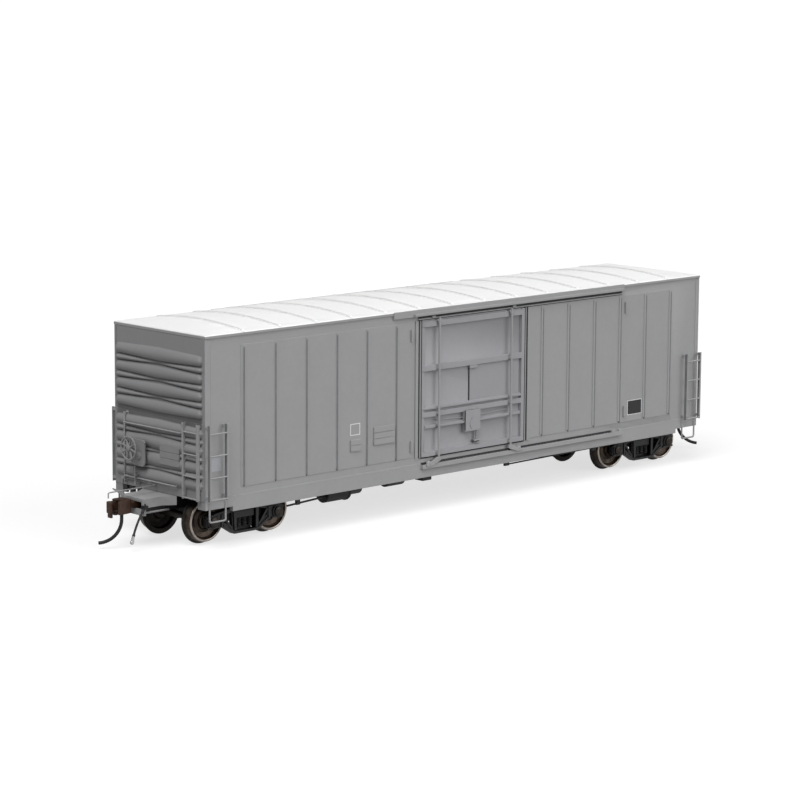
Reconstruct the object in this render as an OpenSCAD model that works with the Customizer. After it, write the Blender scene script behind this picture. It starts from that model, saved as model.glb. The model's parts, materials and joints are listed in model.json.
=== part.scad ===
// Model boxcar with plug doors, built as separate pieces with turning trucks, wheels and couplers.
// X runs along the car with the hand brake at -X, Y across it, and Z up from the flange bottoms.
// Pieces of one side or end are drawn at the right side (-Y) or the brake end (-X), and turned
// for the other.

/* [Body shell] */
// Length over the end sheets
body_length = 177; // [140:1:220]
// Width over the side sheets
body_width = 33.9; // [28:0.1:41]
// Height of the top of the side sheets
side_top_z = 51.4; // [46:0.1:62]
// Height of the bottom of the deep middle stretch of the side sill
sill_z = 9; // [8.6:0.1:9.6]
// Height of the bottom of the side sill near the corners
foot_z = 10.2; // [9.8:0.1:11]
// Distance from each end at which the side sill becomes shallow
sill_step = 8.6; // [6:0.1:12]
// Thickness of a side wall
side_wall = 1; // [0.8:0.1:1.5]
// Thickness of an end wall
end_wall = 1.2; // [1:0.1:1.6]
// Height of the opening under each end sheet
end_open_z = 12.4; // [12.2:0.1:12.6]
// Width of each end sheet's leg beside that opening
end_leg = 2.75; // [2:0.05:3.5]

/* [Posts and bulges] */
// Width of a side post
post_w = 0.9; // [0.6:0.1:1.2]
// How far a side post stands out of its side
post_d = 0.35; // [0.2:0.05:0.5]
// Number of posts on each side of the door
post_count = 6; // [4:1:6]
// Distance between two posts
post_pitch = 10.04; // [7:0.02:12.1]
// Distance from the end sheet to the nearest post
post_inset = 12.2; // [10:0.1:14]
// Height of the bottom of the posts
post_bottom_z = 15.1; // [14.8:0.1:17]
// Distance from the top of a post to the top of the side
post_short = 2.6; // [2.4:0.1:4]
// Number of bulges across each end
bulge_count = 8; // [6:1:8]
// Distance between two end bulges
bulge_pitch = 4.22; // [3.6:0.02:4.4]
// Height of an end bulge
bulge_h = 1.5; // [1:0.1:2]
// How far an end bulge stands out of its end
bulge_d = 0.8; // [0.4:0.1:0.8]
// Extra distance between the bulges of an end's upper and lower sheets
bulge_joint = 0.5; // [0:0.1:1]

/* [Roof] */
// Rise of the roof arch
roof_rise = 1.1; // [0.6:0.1:2]
// Thickness of the roof at its ridge
roof_wall = 0.9; // [0.8:0.1:1.4]
// Height of the eave band
eave_h = 0.8; // [0.5:0.1:1.2]
// How far the eave stands out over the side
eave_out = 0.3; // [0.1:0.05:0.45]
// Number of seams across the roof
seam_count = 14; // [10:1:14]
// Distance between two seams
seam_pitch = 11.65; // [8:0.05:12]
// Width of a seam
seam_w = 0.9; // [0.5:0.1:1.5]
// Height of a seam over the roof
seam_h = 0.35; // [0.2:0.05:0.5]
// Length of the roof's slope down to each end
hip_run = 12.8; // [8:0.2:16]

/* [Plug doors] */
// Width of a plug door
door_w = 37; // [30:0.2:44.4]
// Distance from the middle of a side to the middle of its door
door_x = 1; // [0:0.1:2]
// Gap around a plug door in its opening
door_gap = 0.35; // [0.1:0.05:0.8]
// Height of the bottom of the door
door_bottom_z = 14.2; // [13.5:0.1:15]
// Distance from the top of the door to the top of the side
door_short = 2.1; // [1.8:0.1:3]
// How far the door frame's edges stand in from the frame posts
door_rim = 1.3; // [1:0.1:2]
// How far the rails stand out of the door
rail_d = 0.3; // [0.2:0.05:0.4]
// Width of the strip along each edge of the opening
edge_strip = 0.3; // [0.2:0.05:0.5]
// Width of the groove between that strip and the door post
post_groove = 0.6; // [0.3:0.05:0.8]
// Width of a door post beside the groove
door_post_w = 0.9; // [0.6:0.1:1.2]
// How far the operating rods stand out of the side
rod_out = 1.3; // [1:0.05:1.6]
// Distance from the door's edge to an operating rod
rod_inset = 5.5; // [3:0.1:8]
// Diameter of an operating rod
rod_d = 0.6; // [0.4:0.05:0.8]
// Distance that a door can travel along its track
door_travel = 38.5; // [30:0.5:40]

/* [Underframe] */
// Height of the underside of the floor
floor_z = 12.6; // [12.6:0.1:13.4]
// Thickness of the floor
floor_t = 1; // [0.8:0.1:1.6]
// Width of the centre sill
center_sill_w = 6.4; // [5:0.1:6.8]
// Height of the underside of the centre sill
center_sill_z = 9.6; // [9.4:0.1:10.4]
// Number of crossbearers on each side of the centre sill
bearer_count = 6; // [4:1:7]
// Distance between two crossbearers
bearer_pitch = 18; // [14:0.5:18]
// Distance between the two truck centres
truck_centers = 143.6; // [118:0.2:146]
// Length of the steel weight
weight_l = 120; // [80:1:125]

/* [Trucks and wheels] */
// Distance between the two axles of a truck
wheelbase = 20.6; // [17:0.1:21.4]
// Radius of a wheel over its tread
tread_r = 5.25; // [4.8:0.05:5.4]
// Radius of a wheel over its flange
flange_r = 5.89; // [5.5:0.01:6.1]
// Distance between the backs of two wheels
back_to_back = 14.4; // [14:0.1:14.6]
// Width of a wheel
wheel_w = 2.8; // [2.4:0.1:2.9]
// Radius of an axle between the wheels
axle_r = 1; // [0.8:0.05:1.3]
// Radius of an axle's journal
journal_r = 0.8; // [0.6:0.05:0.95]
// Running clearance around a journal, a pin or a screw
running_gap = 0.05; // [0.03:0.01:0.1]
// Distance between the inner faces of the two sideframes of a truck
frame_gauge = 21.4; // [21:0.1:22]
// Thickness of a sideframe
frame_t = 1.9; // [1.5:0.1:2.2]
// Radius of a journal's end cap
cap_r = 1.3; // [1:0.05:1.5]

/* [Couplers] */
// Height of the coupler's centre line
coupler_z = 10.56; // [10.2:0.02:10.8]
// Distance from the end sheet in to the coupler's pivot
coupler_in = 1; // [0:0.1:2]
// Length of a coupler from its pivot to the back of its head
shank_l = 11.4; // [11:0.1:14]
// Thickness of a coupler's shank
shank_h = 1.5; // [1.2:0.1:1.6]
// Height of a coupler's head
head_h = 3.8; // [3.4:0.1:4]
// Length of the draft box that stands out of the end
box_out = 8.5; // [7:0.1:8.7]
// Width of a draft box
box_w = 8; // [7.6:0.1:8.2]

/* [Ladders and rods] */
// Diameter of the ladder rungs, grab irons and steps
iron_d = 0.45; // [0.35:0.05:0.6]
// How far the ladders stand out of the car
ladder_out = 1.8; // [1.1:0.1:2.2]
// How far the end ladders and the grab irons stand out of the ends
end_iron_out = 1.4; // [1.35:0.05:1.6]
// Width of a ladder
ladder_w = 5.3; // [4:0.1:6]
// Height of the lowest rung
ladder_z = 12.8; // [12.6:0.1:14]
// Number of rungs
rung_count = 4; // [3:1:6]
// Distance between two rungs
rung_pitch = 5.3; // [4:0.1:6]
// Diameter of the brake wheel
brake_wheel_d = 6.6; // [5:0.1:7.4]

/* [Hidden] */
$fn = 48;
half_l = body_length / 2;
half_w = body_width / 2;
side_half_l = half_l - end_wall;
inner_w = half_w - side_wall;
eave_z = side_top_z + eave_h;
post_top_z = side_top_z - post_short;
board_post_gap = 0.8;
door_half = door_w / 2;
door_top_z = side_top_z - door_short;
door_h = door_top_z - door_bottom_z;
opening_half = door_half + door_gap;
rod_x = door_half - rod_inset;
rod_y = -half_w - rod_out + rod_d / 2;
rail_zs = [for (share = [0.22, 0.315, 0.355, 0.645]) door_bottom_z + share * door_h];
guide_zs = [for (share = [0.02, 0.315, 0.645, 0.98]) door_bottom_z + share * door_h];
gear_box_x = [-3.6, 1.7];
gear_box_z = [19.3, 24.8];
low_rod_x = 0.9;
low_rod_z = 16.5;
header_z = door_top_z + 0.75;
track_z = sill_z + 1.5;
track_h = 1.6;
truck_x = truck_centers / 2;
axle_z = flange_r;
bolster_top_z = 8.6;
bolster_half = 1.9;
bowl_r = 3;
bowl_gap = 0.1;
screw_r = 1.1;
frame_y = frame_gauge / 2;
frame_top_z = bolster_top_z + 0.2;
window_half = 3;
window_z = [3.3, 7.7];
axle_end = frame_y + frame_t + 0.1;
cylinder_x = max(-46.5, wheelbase / 2 + flange_r + 3 - truck_x);
coupler_x = half_l - coupler_in;
box_half = box_w / 2;
box_wall = 0.5;
box_in = 5;
box_z = [coupler_z - 1.96, coupler_z + 1.34];
mouth_half_h = shank_h / 2 + 0.15;
shank_half = 1.2;
post_r = 0.7;
knuckle_at = [-shank_l - 2.1, 1.4];
knuckle_r = 0.8;
knuckle_half_h = 1.35;
pin_r = 0.35;
ladder_x = half_l - 0.5 - ladder_w;
ladder_y = half_w - 1.55 - ladder_w;
ladder_top_z = ladder_z + (rung_count - 1) * rung_pitch + 2.2;
grab_y = 12;
grab_z = ladder_z + (rung_count - 1) * rung_pitch - 0.6;
low_grab_z = 14.9;
housing_y = [3.9, 8.9];
housing_z = [18.4, 24.6];
wheel_at = [-half_l - 4, 7.2, 22.4];
wheel_shaft = -half_l - 2.1 - wheel_at.x;
hose_bend = 18.7;
hose_slopes = [39.5, 17];
grey = [0.56, 0.56, 0.57];
white = [0.93, 0.93, 0.92];
black = [0.09, 0.09, 0.1];
brown = [0.24, 0.17, 0.13];
steel = [0.55, 0.5, 0.45];

// A box from one corner to the opposite one.
module block(from, to) {
    translate(from) cube(to - from);
}

// A round rod between any two points.
module rod(from, to, d) {
    run = to - from;
    translate(from) rotate([0, acos(run.z / norm(run)), atan2(run.y, run.x)])
        cylinder(d = d, h = norm(run), $fn = 24);
}

// A round wire through a row of points, with a ball at each bend.
module wire(points, d) {
    for (i = [0 : len(points) - 2])
        rod(points[i], points[i + 1], d);
    for (i = [1 : 1 : len(points) - 2])
        translate(points[i]) sphere(d = d, $fn = 24);
}

// The same piece at the brake end and, turned half round, at the plain end.
module both_ends() {
    children();
    turned() children();
}

module turned() {
    rotate([0, 0, 180]) children();
}

// The same piece at both sides of one end.
module both_sides() {
    children();
    mirror([0, 1, 0]) children();
}

// A flat shape drawn in X and Z, made solid from y towards +Y.
module upright(y, t) {
    translate([0, y + t, 0]) rotate([90, 0, 0]) linear_extrude(t) children();
}

// A section drawn in Y and Z, made solid from x towards +X.
module along_x(x, length) {
    translate([x, 0, 0]) rotate([90, 0, 90]) linear_extrude(length) children();
}

// ---- body shell ----

module side_outline() {
    deep = half_l - sill_step;
    polygon([[-side_half_l, foot_z], [-deep, foot_z], [-deep, sill_z], [deep, sill_z],
        [deep, foot_z], [side_half_l, foot_z], [side_half_l, side_top_z], [-side_half_l, side_top_z]]);
}

// Everything of a door is drawn about the door's own middle.
module at_door() {
    translate([door_x, 0, 0]) children();
}

module side_sheet() {
    difference() {
        upright(-half_w, side_wall) side_outline();
        at_door() block([-opening_half, -half_w - 1, door_bottom_z - door_gap],
            [opening_half, -inner_w + 1, door_top_z + door_gap]);
    }
    for (s = [-1, 1])
        for (i = [0 : post_count - 1])
            side_post(s * (half_l - post_inset - i * post_pitch));
    post = opening_half + edge_strip + post_groove;
    strips = [[opening_half, opening_half + edge_strip], [post, post + door_post_w]];
    at_door() for (s = [0, 1], span = strips)
        mirror([s, 0, 0])
            block([span[0], -half_w - rail_d, door_bottom_z], [span[1], -half_w, door_top_z]);
}

// A shallow post that tapers into the side at both of its long edges.
module side_post(x) {
    half = post_w / 2;
    translate([x, -half_w, post_bottom_z])
        linear_extrude(post_top_z - post_bottom_z)
            polygon([[-half, 0.1], [-half, 0], [-half * 0.6, -post_d], [half * 0.6, -post_d],
                [half, 0], [half, 0.1]]);
}

module right_side() {
    color(grey) side_sheet();
}

module left_side() {
    color(grey) turned() side_sheet();
}

module end_sheet() {
    open = half_w - end_leg;
    difference() {
        block([-half_l, -half_w, foot_z], [-side_half_l, half_w, side_top_z]);
        block([-half_l - 1, -open, foot_z - 1], [-side_half_l + 1, open, end_open_z]);
    }
    difference() {
        for (i = [0 : bulge_count - 1])
            end_bulge(side_top_z - 5.5 - i * bulge_pitch - (i < bulge_count / 2 ? 0 : bulge_joint));
        tack_board();
        both_ends() end_feet();
        brake_feet();
    }
}

// One bulge pressed across the end sheet, with its ends run out to the sheet.
module end_bulge(z) {
    reach = half_w - 0.8;
    flat = reach - 1;
    translate([-half_l, 0, z]) linear_extrude(bulge_h, center = true)
        polygon([[0.1, -reach], [0, -reach], [-bulge_d, -flat], [-bulge_d, flat],
            [0, reach], [0.1, reach]]);
}

module brake_end_wall() {
    color(grey) end_sheet();
}

module plain_end_wall() {
    color(grey) turned() end_sheet();
}

// ---- roof ----

function arch_z(i, rise) = rise * (1 - pow(i / 8, 2));
function arch(half, base, rise) = [for (i = [-8 : 8]) [i / 8 * half, base + arch_z(i, rise)]];
function reversed(points) = [for (i = [len(points) - 1 : -1 : 0]) points[i]];

module roof_section() {
    half = half_w + eave_out;
    edge = 0.25;
    polygon(concat([[-half, side_top_z], [-half, eave_z - edge]], arch(half - edge, eave_z, roof_rise),
        [[half, eave_z - edge], [half, side_top_z]]));
}

// The space under the roof, which stops short of both ends.
module roof_hollow() {
    under = side_top_z - 1;
    polygon(concat([[-inner_w, under], [-inner_w, side_top_z]],
        arch(inner_w - 0.5, side_top_z, roof_rise + eave_h - roof_wall),
        [[inner_w, side_top_z], [inner_w, under]]));
}

// A flat cap over the joint between two roof sheets.
module roof_seam(x) {
    half = half_w - 0.9;
    along_x(x - seam_w / 2, seam_w)
        polygon(concat(arch(half, eave_z + seam_h, roof_rise),
            reversed(arch(half, eave_z - 0.3, roof_rise))));
}

// The space under the roof's outline from the side, which slopes down towards both ends.
module roof_space() {
    peak = eave_z + roof_rise + seam_h + 0.05;
    upright(-half_w - 2, body_width + 4)
        polygon([[-half_l, side_top_z - 1], [-half_l, eave_z], [-half_l + hip_run, peak],
            [half_l - hip_run, peak], [half_l, eave_z], [half_l, side_top_z - 1]]);
}

module roof() {
    hollow_half = half_l - 5;
    color(white) difference() {
        intersection() {
            union() {
                along_x(-half_l, body_length) roof_section();
                for (i = [0 : seam_count - 1])
                    roof_seam((i - (seam_count - 1) / 2) * seam_pitch);
            }
            roof_space();
        }
        along_x(-hollow_half, 2 * hollow_half) roof_hollow();
    }
}

// ---- floor and underframe ----

module truck_screw_holes() {
    for (s = [-1, 1])
        translate([s * truck_x, 0, 0]) cylinder(r = screw_r, h = floor_z + 5);
}

module floor() {
    color(black) difference() {
        block([-side_half_l, -inner_w, floor_z], [side_half_l, inner_w, floor_z + floor_t]);
        truck_screw_holes();
    }
}

module center_sill() {
    reach = coupler_x - box_in;
    half = center_sill_w / 2;
    color(black) difference() {
        union() {
            block([-reach, -half, center_sill_z], [reach, half, floor_z]);
            for (s = [-1, 1])
                translate([s * truck_x, 0, bolster_top_z + bowl_gap])
                    cylinder(r = bowl_r, h = center_sill_z - bolster_top_z);
        }
        truck_screw_holes();
    }
}

module body_bolsters() {
    color(black) both_ends() both_sides()
        block([-truck_x - 1.6, -inner_w, 10.6], [-truck_x + 1.6, -center_sill_w / 2, floor_z]);
}

module crossbearers() {
    color(black) both_sides()
        for (i = [0 : bearer_count - 1])
            translate([(i - (bearer_count - 1) / 2) * bearer_pitch, 0, 0])
                block([-0.5, -inner_w, floor_z - 1.6], [0.5, -center_sill_w / 2, floor_z]);
}

module steel_weight() {
    half = inner_w - 4;
    reach = min(weight_l / 2, truck_x - bowl_r - 2);
    color(steel) block([-reach, -half, floor_z + floor_t], [reach, half, floor_z + floor_t + 1.3]);
}

// ---- plug doors ----

module door_panel() {
    rim_half = door_half - door_rim;
    difference() {
        union() {
            difference() {
                block([-door_half, -half_w, door_bottom_z], [door_half, -inner_w, door_top_z]);
                block([-rim_half, -half_w - 1, door_bottom_z + door_rim],
                    [rim_half, -half_w + rail_d, door_top_z - door_rim - 0.5]);
            }
            for (z = rail_zs)
                block([-rim_half, -half_w - rail_d, z - 0.4], [rim_half, -half_w + 0.4, z + 0.4]);
        }
        door_gear_feet();
    }
}

module right_door() {
    color(grey) at_door() door_panel();
}

module left_door() {
    color(grey) turned() at_door() door_panel();
}

// What the rods and the gear box stand on: everything that reaches back to the door.
module door_gear_feet() {
    deep = -half_w + rail_d;
    for (s = [-1, 1], z = guide_zs)
        block([s * rod_x - 0.45, rod_y, z - 0.3], [s * rod_x + 0.45, deep, z + 0.3]);
    block([gear_box_x[0], -half_w - 1.1, gear_box_z[0]], [gear_box_x[1], deep, gear_box_z[1]]);
    block([low_rod_x - 0.9, -half_w - 0.8, low_rod_z - 0.3], [low_rod_x + 0.9, deep, low_rod_z + 0.3]);
}

// Two upright operating rods, and the gear box that turns them with the short rod under it.
module door_gear() {
    for (s = [-1, 1])
        rod([s * rod_x, rod_y, door_bottom_z - 0.9], [s * rod_x, rod_y, door_top_z + 0.4], rod_d);
    rod([low_rod_x, -half_w - 0.55, low_rod_z], [low_rod_x, -half_w - 0.55, gear_box_z[0] + 0.2], 0.5);
    door_gear_feet();
}

module right_door_gear() {
    color(grey) at_door() door_gear();
}

module left_door_gear() {
    color(grey) turned() at_door() door_gear();
}

// The header plate with its rail, and the lower track on the side sill.
module door_tracks() {
    from = door_x - door_half - 9.9;
    near = door_x - door_half;
    to = door_x + door_half + door_travel - 0.5;
    eave_y = -half_w - eave_out;
    header_y = eave_y - 0.25;
    along_x(from, to - from)
        polygon([[-half_w, header_z], [header_y, header_z], [header_y, eave_z], [eave_y, eave_z],
            [eave_y, side_top_z], [-half_w, side_top_z]]);
    block([from + 6.8, header_y - 0.6, header_z + 0.5], [to - 0.7, header_y, header_z + 1.2]);
    block([near, -half_w - 0.9, track_z], [to - 0.3, -half_w, track_z + track_h]);
    block([near, -half_w - 0.9, track_z + track_h],
        [to - 0.3, -half_w - 0.5, track_z + track_h + 0.4]);
}

module right_door_tracks() {
    color(grey) door_tracks();
}

module left_door_tracks() {
    color(grey) turned() door_tracks();
}

// ---- ladders, steps and end fittings ----

// A ladder in its own place: its posts rise from the origin, with the car towards +Y.
module ladder(out) {
    for (x = [0, ladder_w]) {
        rod([x, 0, ladder_z - 0.4], [x, 0, ladder_top_z], iron_d);
        for (z = [ladder_z + 0.6, ladder_top_z - 0.6])
            block([x - 0.3, 0, z - 0.3], [x + 0.3, out - iron_d / 2, z + 0.3]);
    }
    for (i = [0 : rung_count - 1])
        rod([0, 0, ladder_z + i * rung_pitch], [ladder_w, 0, ladder_z + i * rung_pitch], iron_d);
}

module side_ladders() {
    color(grey) both_ends() both_sides()
        translate([-ladder_x - ladder_w, -half_w - ladder_out + iron_d / 2, 0]) ladder(ladder_out);
}

module end_ladder() {
    translate([-half_l - end_iron_out + iron_d / 2, -ladder_y, 0]) rotate([0, 0, -90]) ladder(end_iron_out);
}

module end_ladders() {
    color(grey) both_ends() end_ladder();
}

// The feet of the grab irons, which reach back to the end sheet.
module end_feet() {
    x = -half_l - end_iron_out + iron_d / 2;
    for (at = [[grab_y, ladder_z + 0.6], [grab_y, ladder_top_z - 0.6], [1 - ladder_y, grab_z],
        [grab_y - 1.5, low_grab_z], [-7, low_grab_z]])
        block([x, at.x - 0.3, at.y - 0.3], [-half_l, at.x + 0.3, at.y + 0.3]);
}

module end_grab_irons() {
    x = -half_l - end_iron_out + iron_d / 2;
    color(grey) both_ends() {
        rod([x, grab_y, ladder_z - 0.4], [x, grab_y, ladder_top_z], iron_d);
        rod([x, grab_y, grab_z], [x, 0.7 - ladder_y, grab_z], iron_d);
        rod([x, grab_y, low_grab_z], [x, -7.3, low_grab_z], iron_d);
        end_feet();
    }
}

module stirrup_steps() {
    y = -half_w - iron_d / 2;
    x = [-half_l + 1.2, -half_l + 6.2];
    color(grey) both_ends() both_sides()
        wire([[x[0], y, 11.8], [x[0], y, 7.2], [x[1], y, 7.2], [x[1], y, 11.8]], iron_d);
}

module brake_wheel() {
    color(grey) translate(wheel_at) rotate([0, 90, 0]) {
        rotate_extrude() translate([brake_wheel_d / 2 - 0.25, 0]) circle(d = 0.5, $fn = 16);
        translate([0, 0, -0.3]) cylinder(r = 0.8, h = 0.7);
        cylinder(r = 0.4, h = wheel_shaft);
        for (a = [0 : 72 : 288])
            rotate([0, 0, a]) rotate([0, 90, 0]) cylinder(d = 0.35, h = brake_wheel_d / 2 - 0.3, $fn = 16);
    }
}

// The housing with the rod that runs down from it to the end sheet's foot.
module brake_feet() {
    block([-half_l - 2.1, housing_y[0], housing_z[0]], [-half_l, housing_y[1], housing_z[1]]);
    block([-half_l - 1.95, 6.9, 13.2], [-half_l, 7.5, 13.8]);
}

module brake_housing() {
    color(grey) {
        brake_feet();
        rod([-half_l - 1.75, 7.2, 13.4], [-half_l - 1.75, 7.2, housing_z[0] + 0.3], 0.4);
    }
}

module tack_board() {
    block([-half_l - bulge_d - 0.2, -8.5, 19.6], [-half_l, -1.3, 24.6]);
}

module tack_boards() {
    color(grey) both_ends() tack_board();
}

// Blank boards on the sides, each between two posts.
module side_boards() {
    post = half_l - post_inset - (post_count - 1) * post_pitch;
    color(grey) both_ends() {
        block([-post - 7.9, -half_w - 0.5, 19.5], [-post - board_post_gap, -half_w, 24]);
        block([-post - post_pitch - 5.7, -half_w - 0.5, 18.8], [-post - post_pitch - 2.3, -half_w, 21.7]);
    }
}

// ---- couplers and hoses ----

module draft_box() {
    front = -half_l - box_out;
    back = -coupler_x + box_in;
    difference() {
        block([front + 0.6, -box_half, box_z[0]], [back, box_half, box_z[1]]);
        block([front, -box_half + box_wall, coupler_z - mouth_half_h],
            [back - box_wall, box_half - box_wall, coupler_z + mouth_half_h]);
    }
    translate([-coupler_x, 0, box_z[0] + 0.1]) cylinder(r = post_r, h = box_z[1] - box_z[0] - 0.2);
}

module draft_boxes() {
    color(black) both_ends() draft_box();
}

// The striker: a frame around the draft box's mouth with a cover that widens towards the end sheet.
module striker() {
    front = -half_l - box_out;
    cover = 0.4;
    flare = 2.4;
    difference() {
        union() {
            block([front, -box_half - 0.5, box_z[0] - cover],
                [front + 0.6, box_half + 0.5, box_z[1] + cover]);
            translate([0, 0, box_z[0] + 1.5]) linear_extrude(box_z[1] + cover - box_z[0] - 1.5)
                polygon([[front, -box_half - 0.5], [-half_l - 3, -box_half - 0.5],
                    [-half_l, -box_half - flare], [-half_l, box_half + flare],
                    [-half_l - 3, box_half + 0.5], [front, box_half + 0.5]]);
        }
        block([front + 0.6, -box_half, box_z[0] - 1], [-half_l + 1, box_half, box_z[1]]);
        block([front - 1, -box_half + box_wall, coupler_z - mouth_half_h],
            [front + 1, box_half - box_wall, coupler_z + mouth_half_h]);
    }
}

// The air pipe runs back from the striker along the draft box.
module strikers() {
    color(grey) both_ends() {
        striker();
        rod([-half_l - box_out + 0.3, -box_half - 0.25, 8.9], [-half_l - 0.7, -box_half - 0.25, 8.9], 0.5);
    }
}

// The coupler in its own place: its pivot at the origin and its head towards -X.
module coupler_shape() {
    head = -shank_l;
    pocket = knuckle_half_h + 0.1;
    difference() {
        union() {
            block([head - 0.2, -shank_half, -shank_h / 2], [0, shank_half, shank_h / 2]);
            translate([0, 0, -shank_h / 2]) cylinder(r = 1.9, h = shank_h);
            translate([0, 0, -head_h / 2]) linear_extrude(head_h)
                polygon([[head + 0.6, -1.2], [head + 0.6, 1.2], [head, 2.2], [head - 1.1, 2.2],
                    [head - 1.1, -1.5], [head - 5.4, -2.5], [head - 5.2, -3.3],
                    [head - 1, -2.9], [head, -2.3]]);
            translate([knuckle_at.x, knuckle_at.y, -head_h / 2]) cylinder(r = knuckle_r, h = head_h);
            block([knuckle_at.x, -0.7, -head_h / 2], [head - 1, knuckle_at.y + knuckle_r, head_h / 2]);
        }
        translate([0, 0, -head_h]) cylinder(r = post_r + running_gap, h = 2 * head_h);
        translate([knuckle_at.x, knuckle_at.y, -pocket]) cylinder(r = knuckle_r + 0.15, h = 2 * pocket);
        block([head - 6, -1.45, -pocket], [knuckle_at.x + 0.5, 3, pocket]);
        translate([knuckle_at.x, knuckle_at.y, -head_h])
            cylinder(r = pin_r + running_gap, h = 2 * head_h, $fn = 24);
    }
}

// The knuckle in its own place: its pin at the origin and its nose towards -Y.
module knuckle_shape() {
    h = 2 * knuckle_half_h;
    translate([0, 0, -knuckle_half_h]) {
        cylinder(r = knuckle_r, h = h);
        linear_extrude(h)
            polygon([[0, knuckle_r], [-1.4, knuckle_r], [-2.2, 0.2], [-2.3, -1.6], [-1.5, -1.8],
                [-1.2, -0.4], [-0.7, -0.35], [0, -0.35]]);
    }
    translate([0, 0, -head_h / 2 - 0.1]) cylinder(r = pin_r, h = head_h + 0.1, $fn = 24);
    translate([0, 0, -head_h / 2 - 0.75]) cylinder(r = 0.75, h = 0.7, $fn = 24);
}

// The trip pin drops from the head and curves away outward and to the side.
module trip_pin_shape() {
    drop = 1.2;
    bend = 6;
    d = 0.85;
    turn = 86;
    translate([knuckle_at.x + 0.55, -0.27, -head_h / 2]) rotate([0, 0, 46]) {
        translate([0, 0, -drop]) cylinder(d = d, h = drop, $fn = 16);
        translate([0, bend, -drop]) rotate([0, 90, 0]) rotate([0, 0, -90])
            rotate_extrude(angle = turn) translate([bend, 0]) circle(d = d, $fn = 16);
    }
}

module at_coupler(s) {
    rotate([0, 0, s > 0 ? 180 : 0]) translate([-coupler_x, 0, coupler_z]) children();
}

module coupler(s) {
    color(brown) at_coupler(s) coupler_shape();
}

module knuckle(s) {
    color(brown) at_coupler(s) translate([knuckle_at.x, knuckle_at.y, 0]) knuckle_shape();
}

module trip_pin(s) {
    color(black) at_coupler(s) trip_pin_shape();
}

module brake_end_coupler() { coupler(-1); }
module plain_end_coupler() { coupler(1); }
module brake_end_knuckle() { knuckle(-1); }
module plain_end_knuckle() { knuckle(1); }
module brake_end_trip_pin() { trip_pin(-1); }
module plain_end_trip_pin() { trip_pin(1); }

// A lever from the far corner to over the coupler's head.
module uncoupling_levers() {
    x = -half_l - 0.5;
    reach = -half_l - 15.4;
    z = 14.1;
    color(grey) both_ends() {
        rod([x, 13.8, z], [x, 0.4, z], 0.35);
        rod([x, 0.4, z], [reach, 0.4, z], 0.35);
        rod([reach, 0.4, z + 0.175], [reach, 0.4, coupler_z + 2.2], 0.35);
        for (y = [3.5, 13.5])
            block([x, y - 0.3, z - 0.3], [-half_l, y + 0.3, z + 0.3]);
    }
}

// A moulded hose that curves out and down from its cock on the striker's corner.
module air_hoses() {
    color(black) both_ends() {
        at_hose() rotate([90, 0, 0]) rotate([0, 0, 180 - hose_slopes[0]])
            rotate_extrude(angle = hose_slopes[0] - hose_slopes[1])
                translate([hose_bend, 0]) circle(d = 0.55, $fn = 24);
        block([-half_l - box_out - 1.1, -box_half - 1.3, 9.9], [-half_l - box_out, -box_half, 10.8]);
    }
}

module glad_hands() {
    color(steel) both_ends() at_hose() rotate([0, hose_slopes[1], 0]) translate([-hose_bend, 0, 0]) {
        translate([0, 0, -0.9]) cylinder(d = 0.8, h = 0.9, $fn = 24);
        translate([0, 0.3, -1.25]) rotate([90, 0, 0]) cylinder(d = 1.1, h = 0.6, $fn = 24);
    }
}

// The centre that the hose bends about, over the track and inside the end.
module at_hose() {
    slope = hose_slopes[0];
    start_x = -half_l - box_out - 0.83;
    translate([start_x + hose_bend * cos(slope), -box_half - 0.9, 10.06 - hose_bend * sin(slope)])
        children();
}

// ---- brake gear under the floor ----

module lengthwise(x, y, z, d, length) {
    translate([x, y, z]) rotate([0, 90, 0]) cylinder(d = d, h = length);
}

module brake_cylinder() {
    y = -half_w + 5;
    color(black) {
        lengthwise(cylinder_x, y, 8.3, 5, 7);
        lengthwise(cylinder_x + 7, y, 8.3, 5.4, 0.5);
        lengthwise(cylinder_x + 7.5, y, 8.6, 3.8, 4.4);
        block([cylinder_x + 2.5, y - 0.6, 10], [cylinder_x + 4.5, y + 0.6, floor_z]);
    }
}

module air_reservoir() {
    y = -half_w + 5;
    color(black) {
        lengthwise(-25.5, y, 9.2, 4.3, 5.6);
        block([-23.5, y - 0.6, 10.6], [-22, y + 0.6, floor_z]);
    }
}

module brake_valve() {
    color(black) block([-12.8, -half_w + 4, 7], [-9.6, -half_w + 7, floor_z]);
}

// Rods from the brake cylinder and from a lever's bracket towards the trucks.
module brake_rods() {
    y = -half_w + 3.7;
    from = wheelbase / 2 + 2.2 - truck_x;
    to = truck_x - wheelbase / 2 - 3.9;
    bracket = 1.6;
    color(black) {
        rod([from, y, 6.95], [cylinder_x, y, 7.6], 0.5);
        block([from + 2.9, y - 0.3, 6.8], [from + 4.1, y + 0.3, floor_z]);
        rod([16.6, y, 7.6], [to, y, 8.1], 0.4);
        for (x = [16.6, to - 7.6])
            block([x, y - 0.3, 7.3], [x + bracket, y + 0.3, floor_z]);
    }
}

// ---- trucks ----

module truck_screws() {
    color(steel) for (s = [-1, 1]) translate([s * truck_x, 0, 0]) {
        translate([0, 0, 5.2]) cylinder(r = screw_r - running_gap, h = floor_z - 3.2);
        translate([0, 0, 4.3]) cylinder(r = 1.8, h = 0.9);
    }
}

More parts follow.
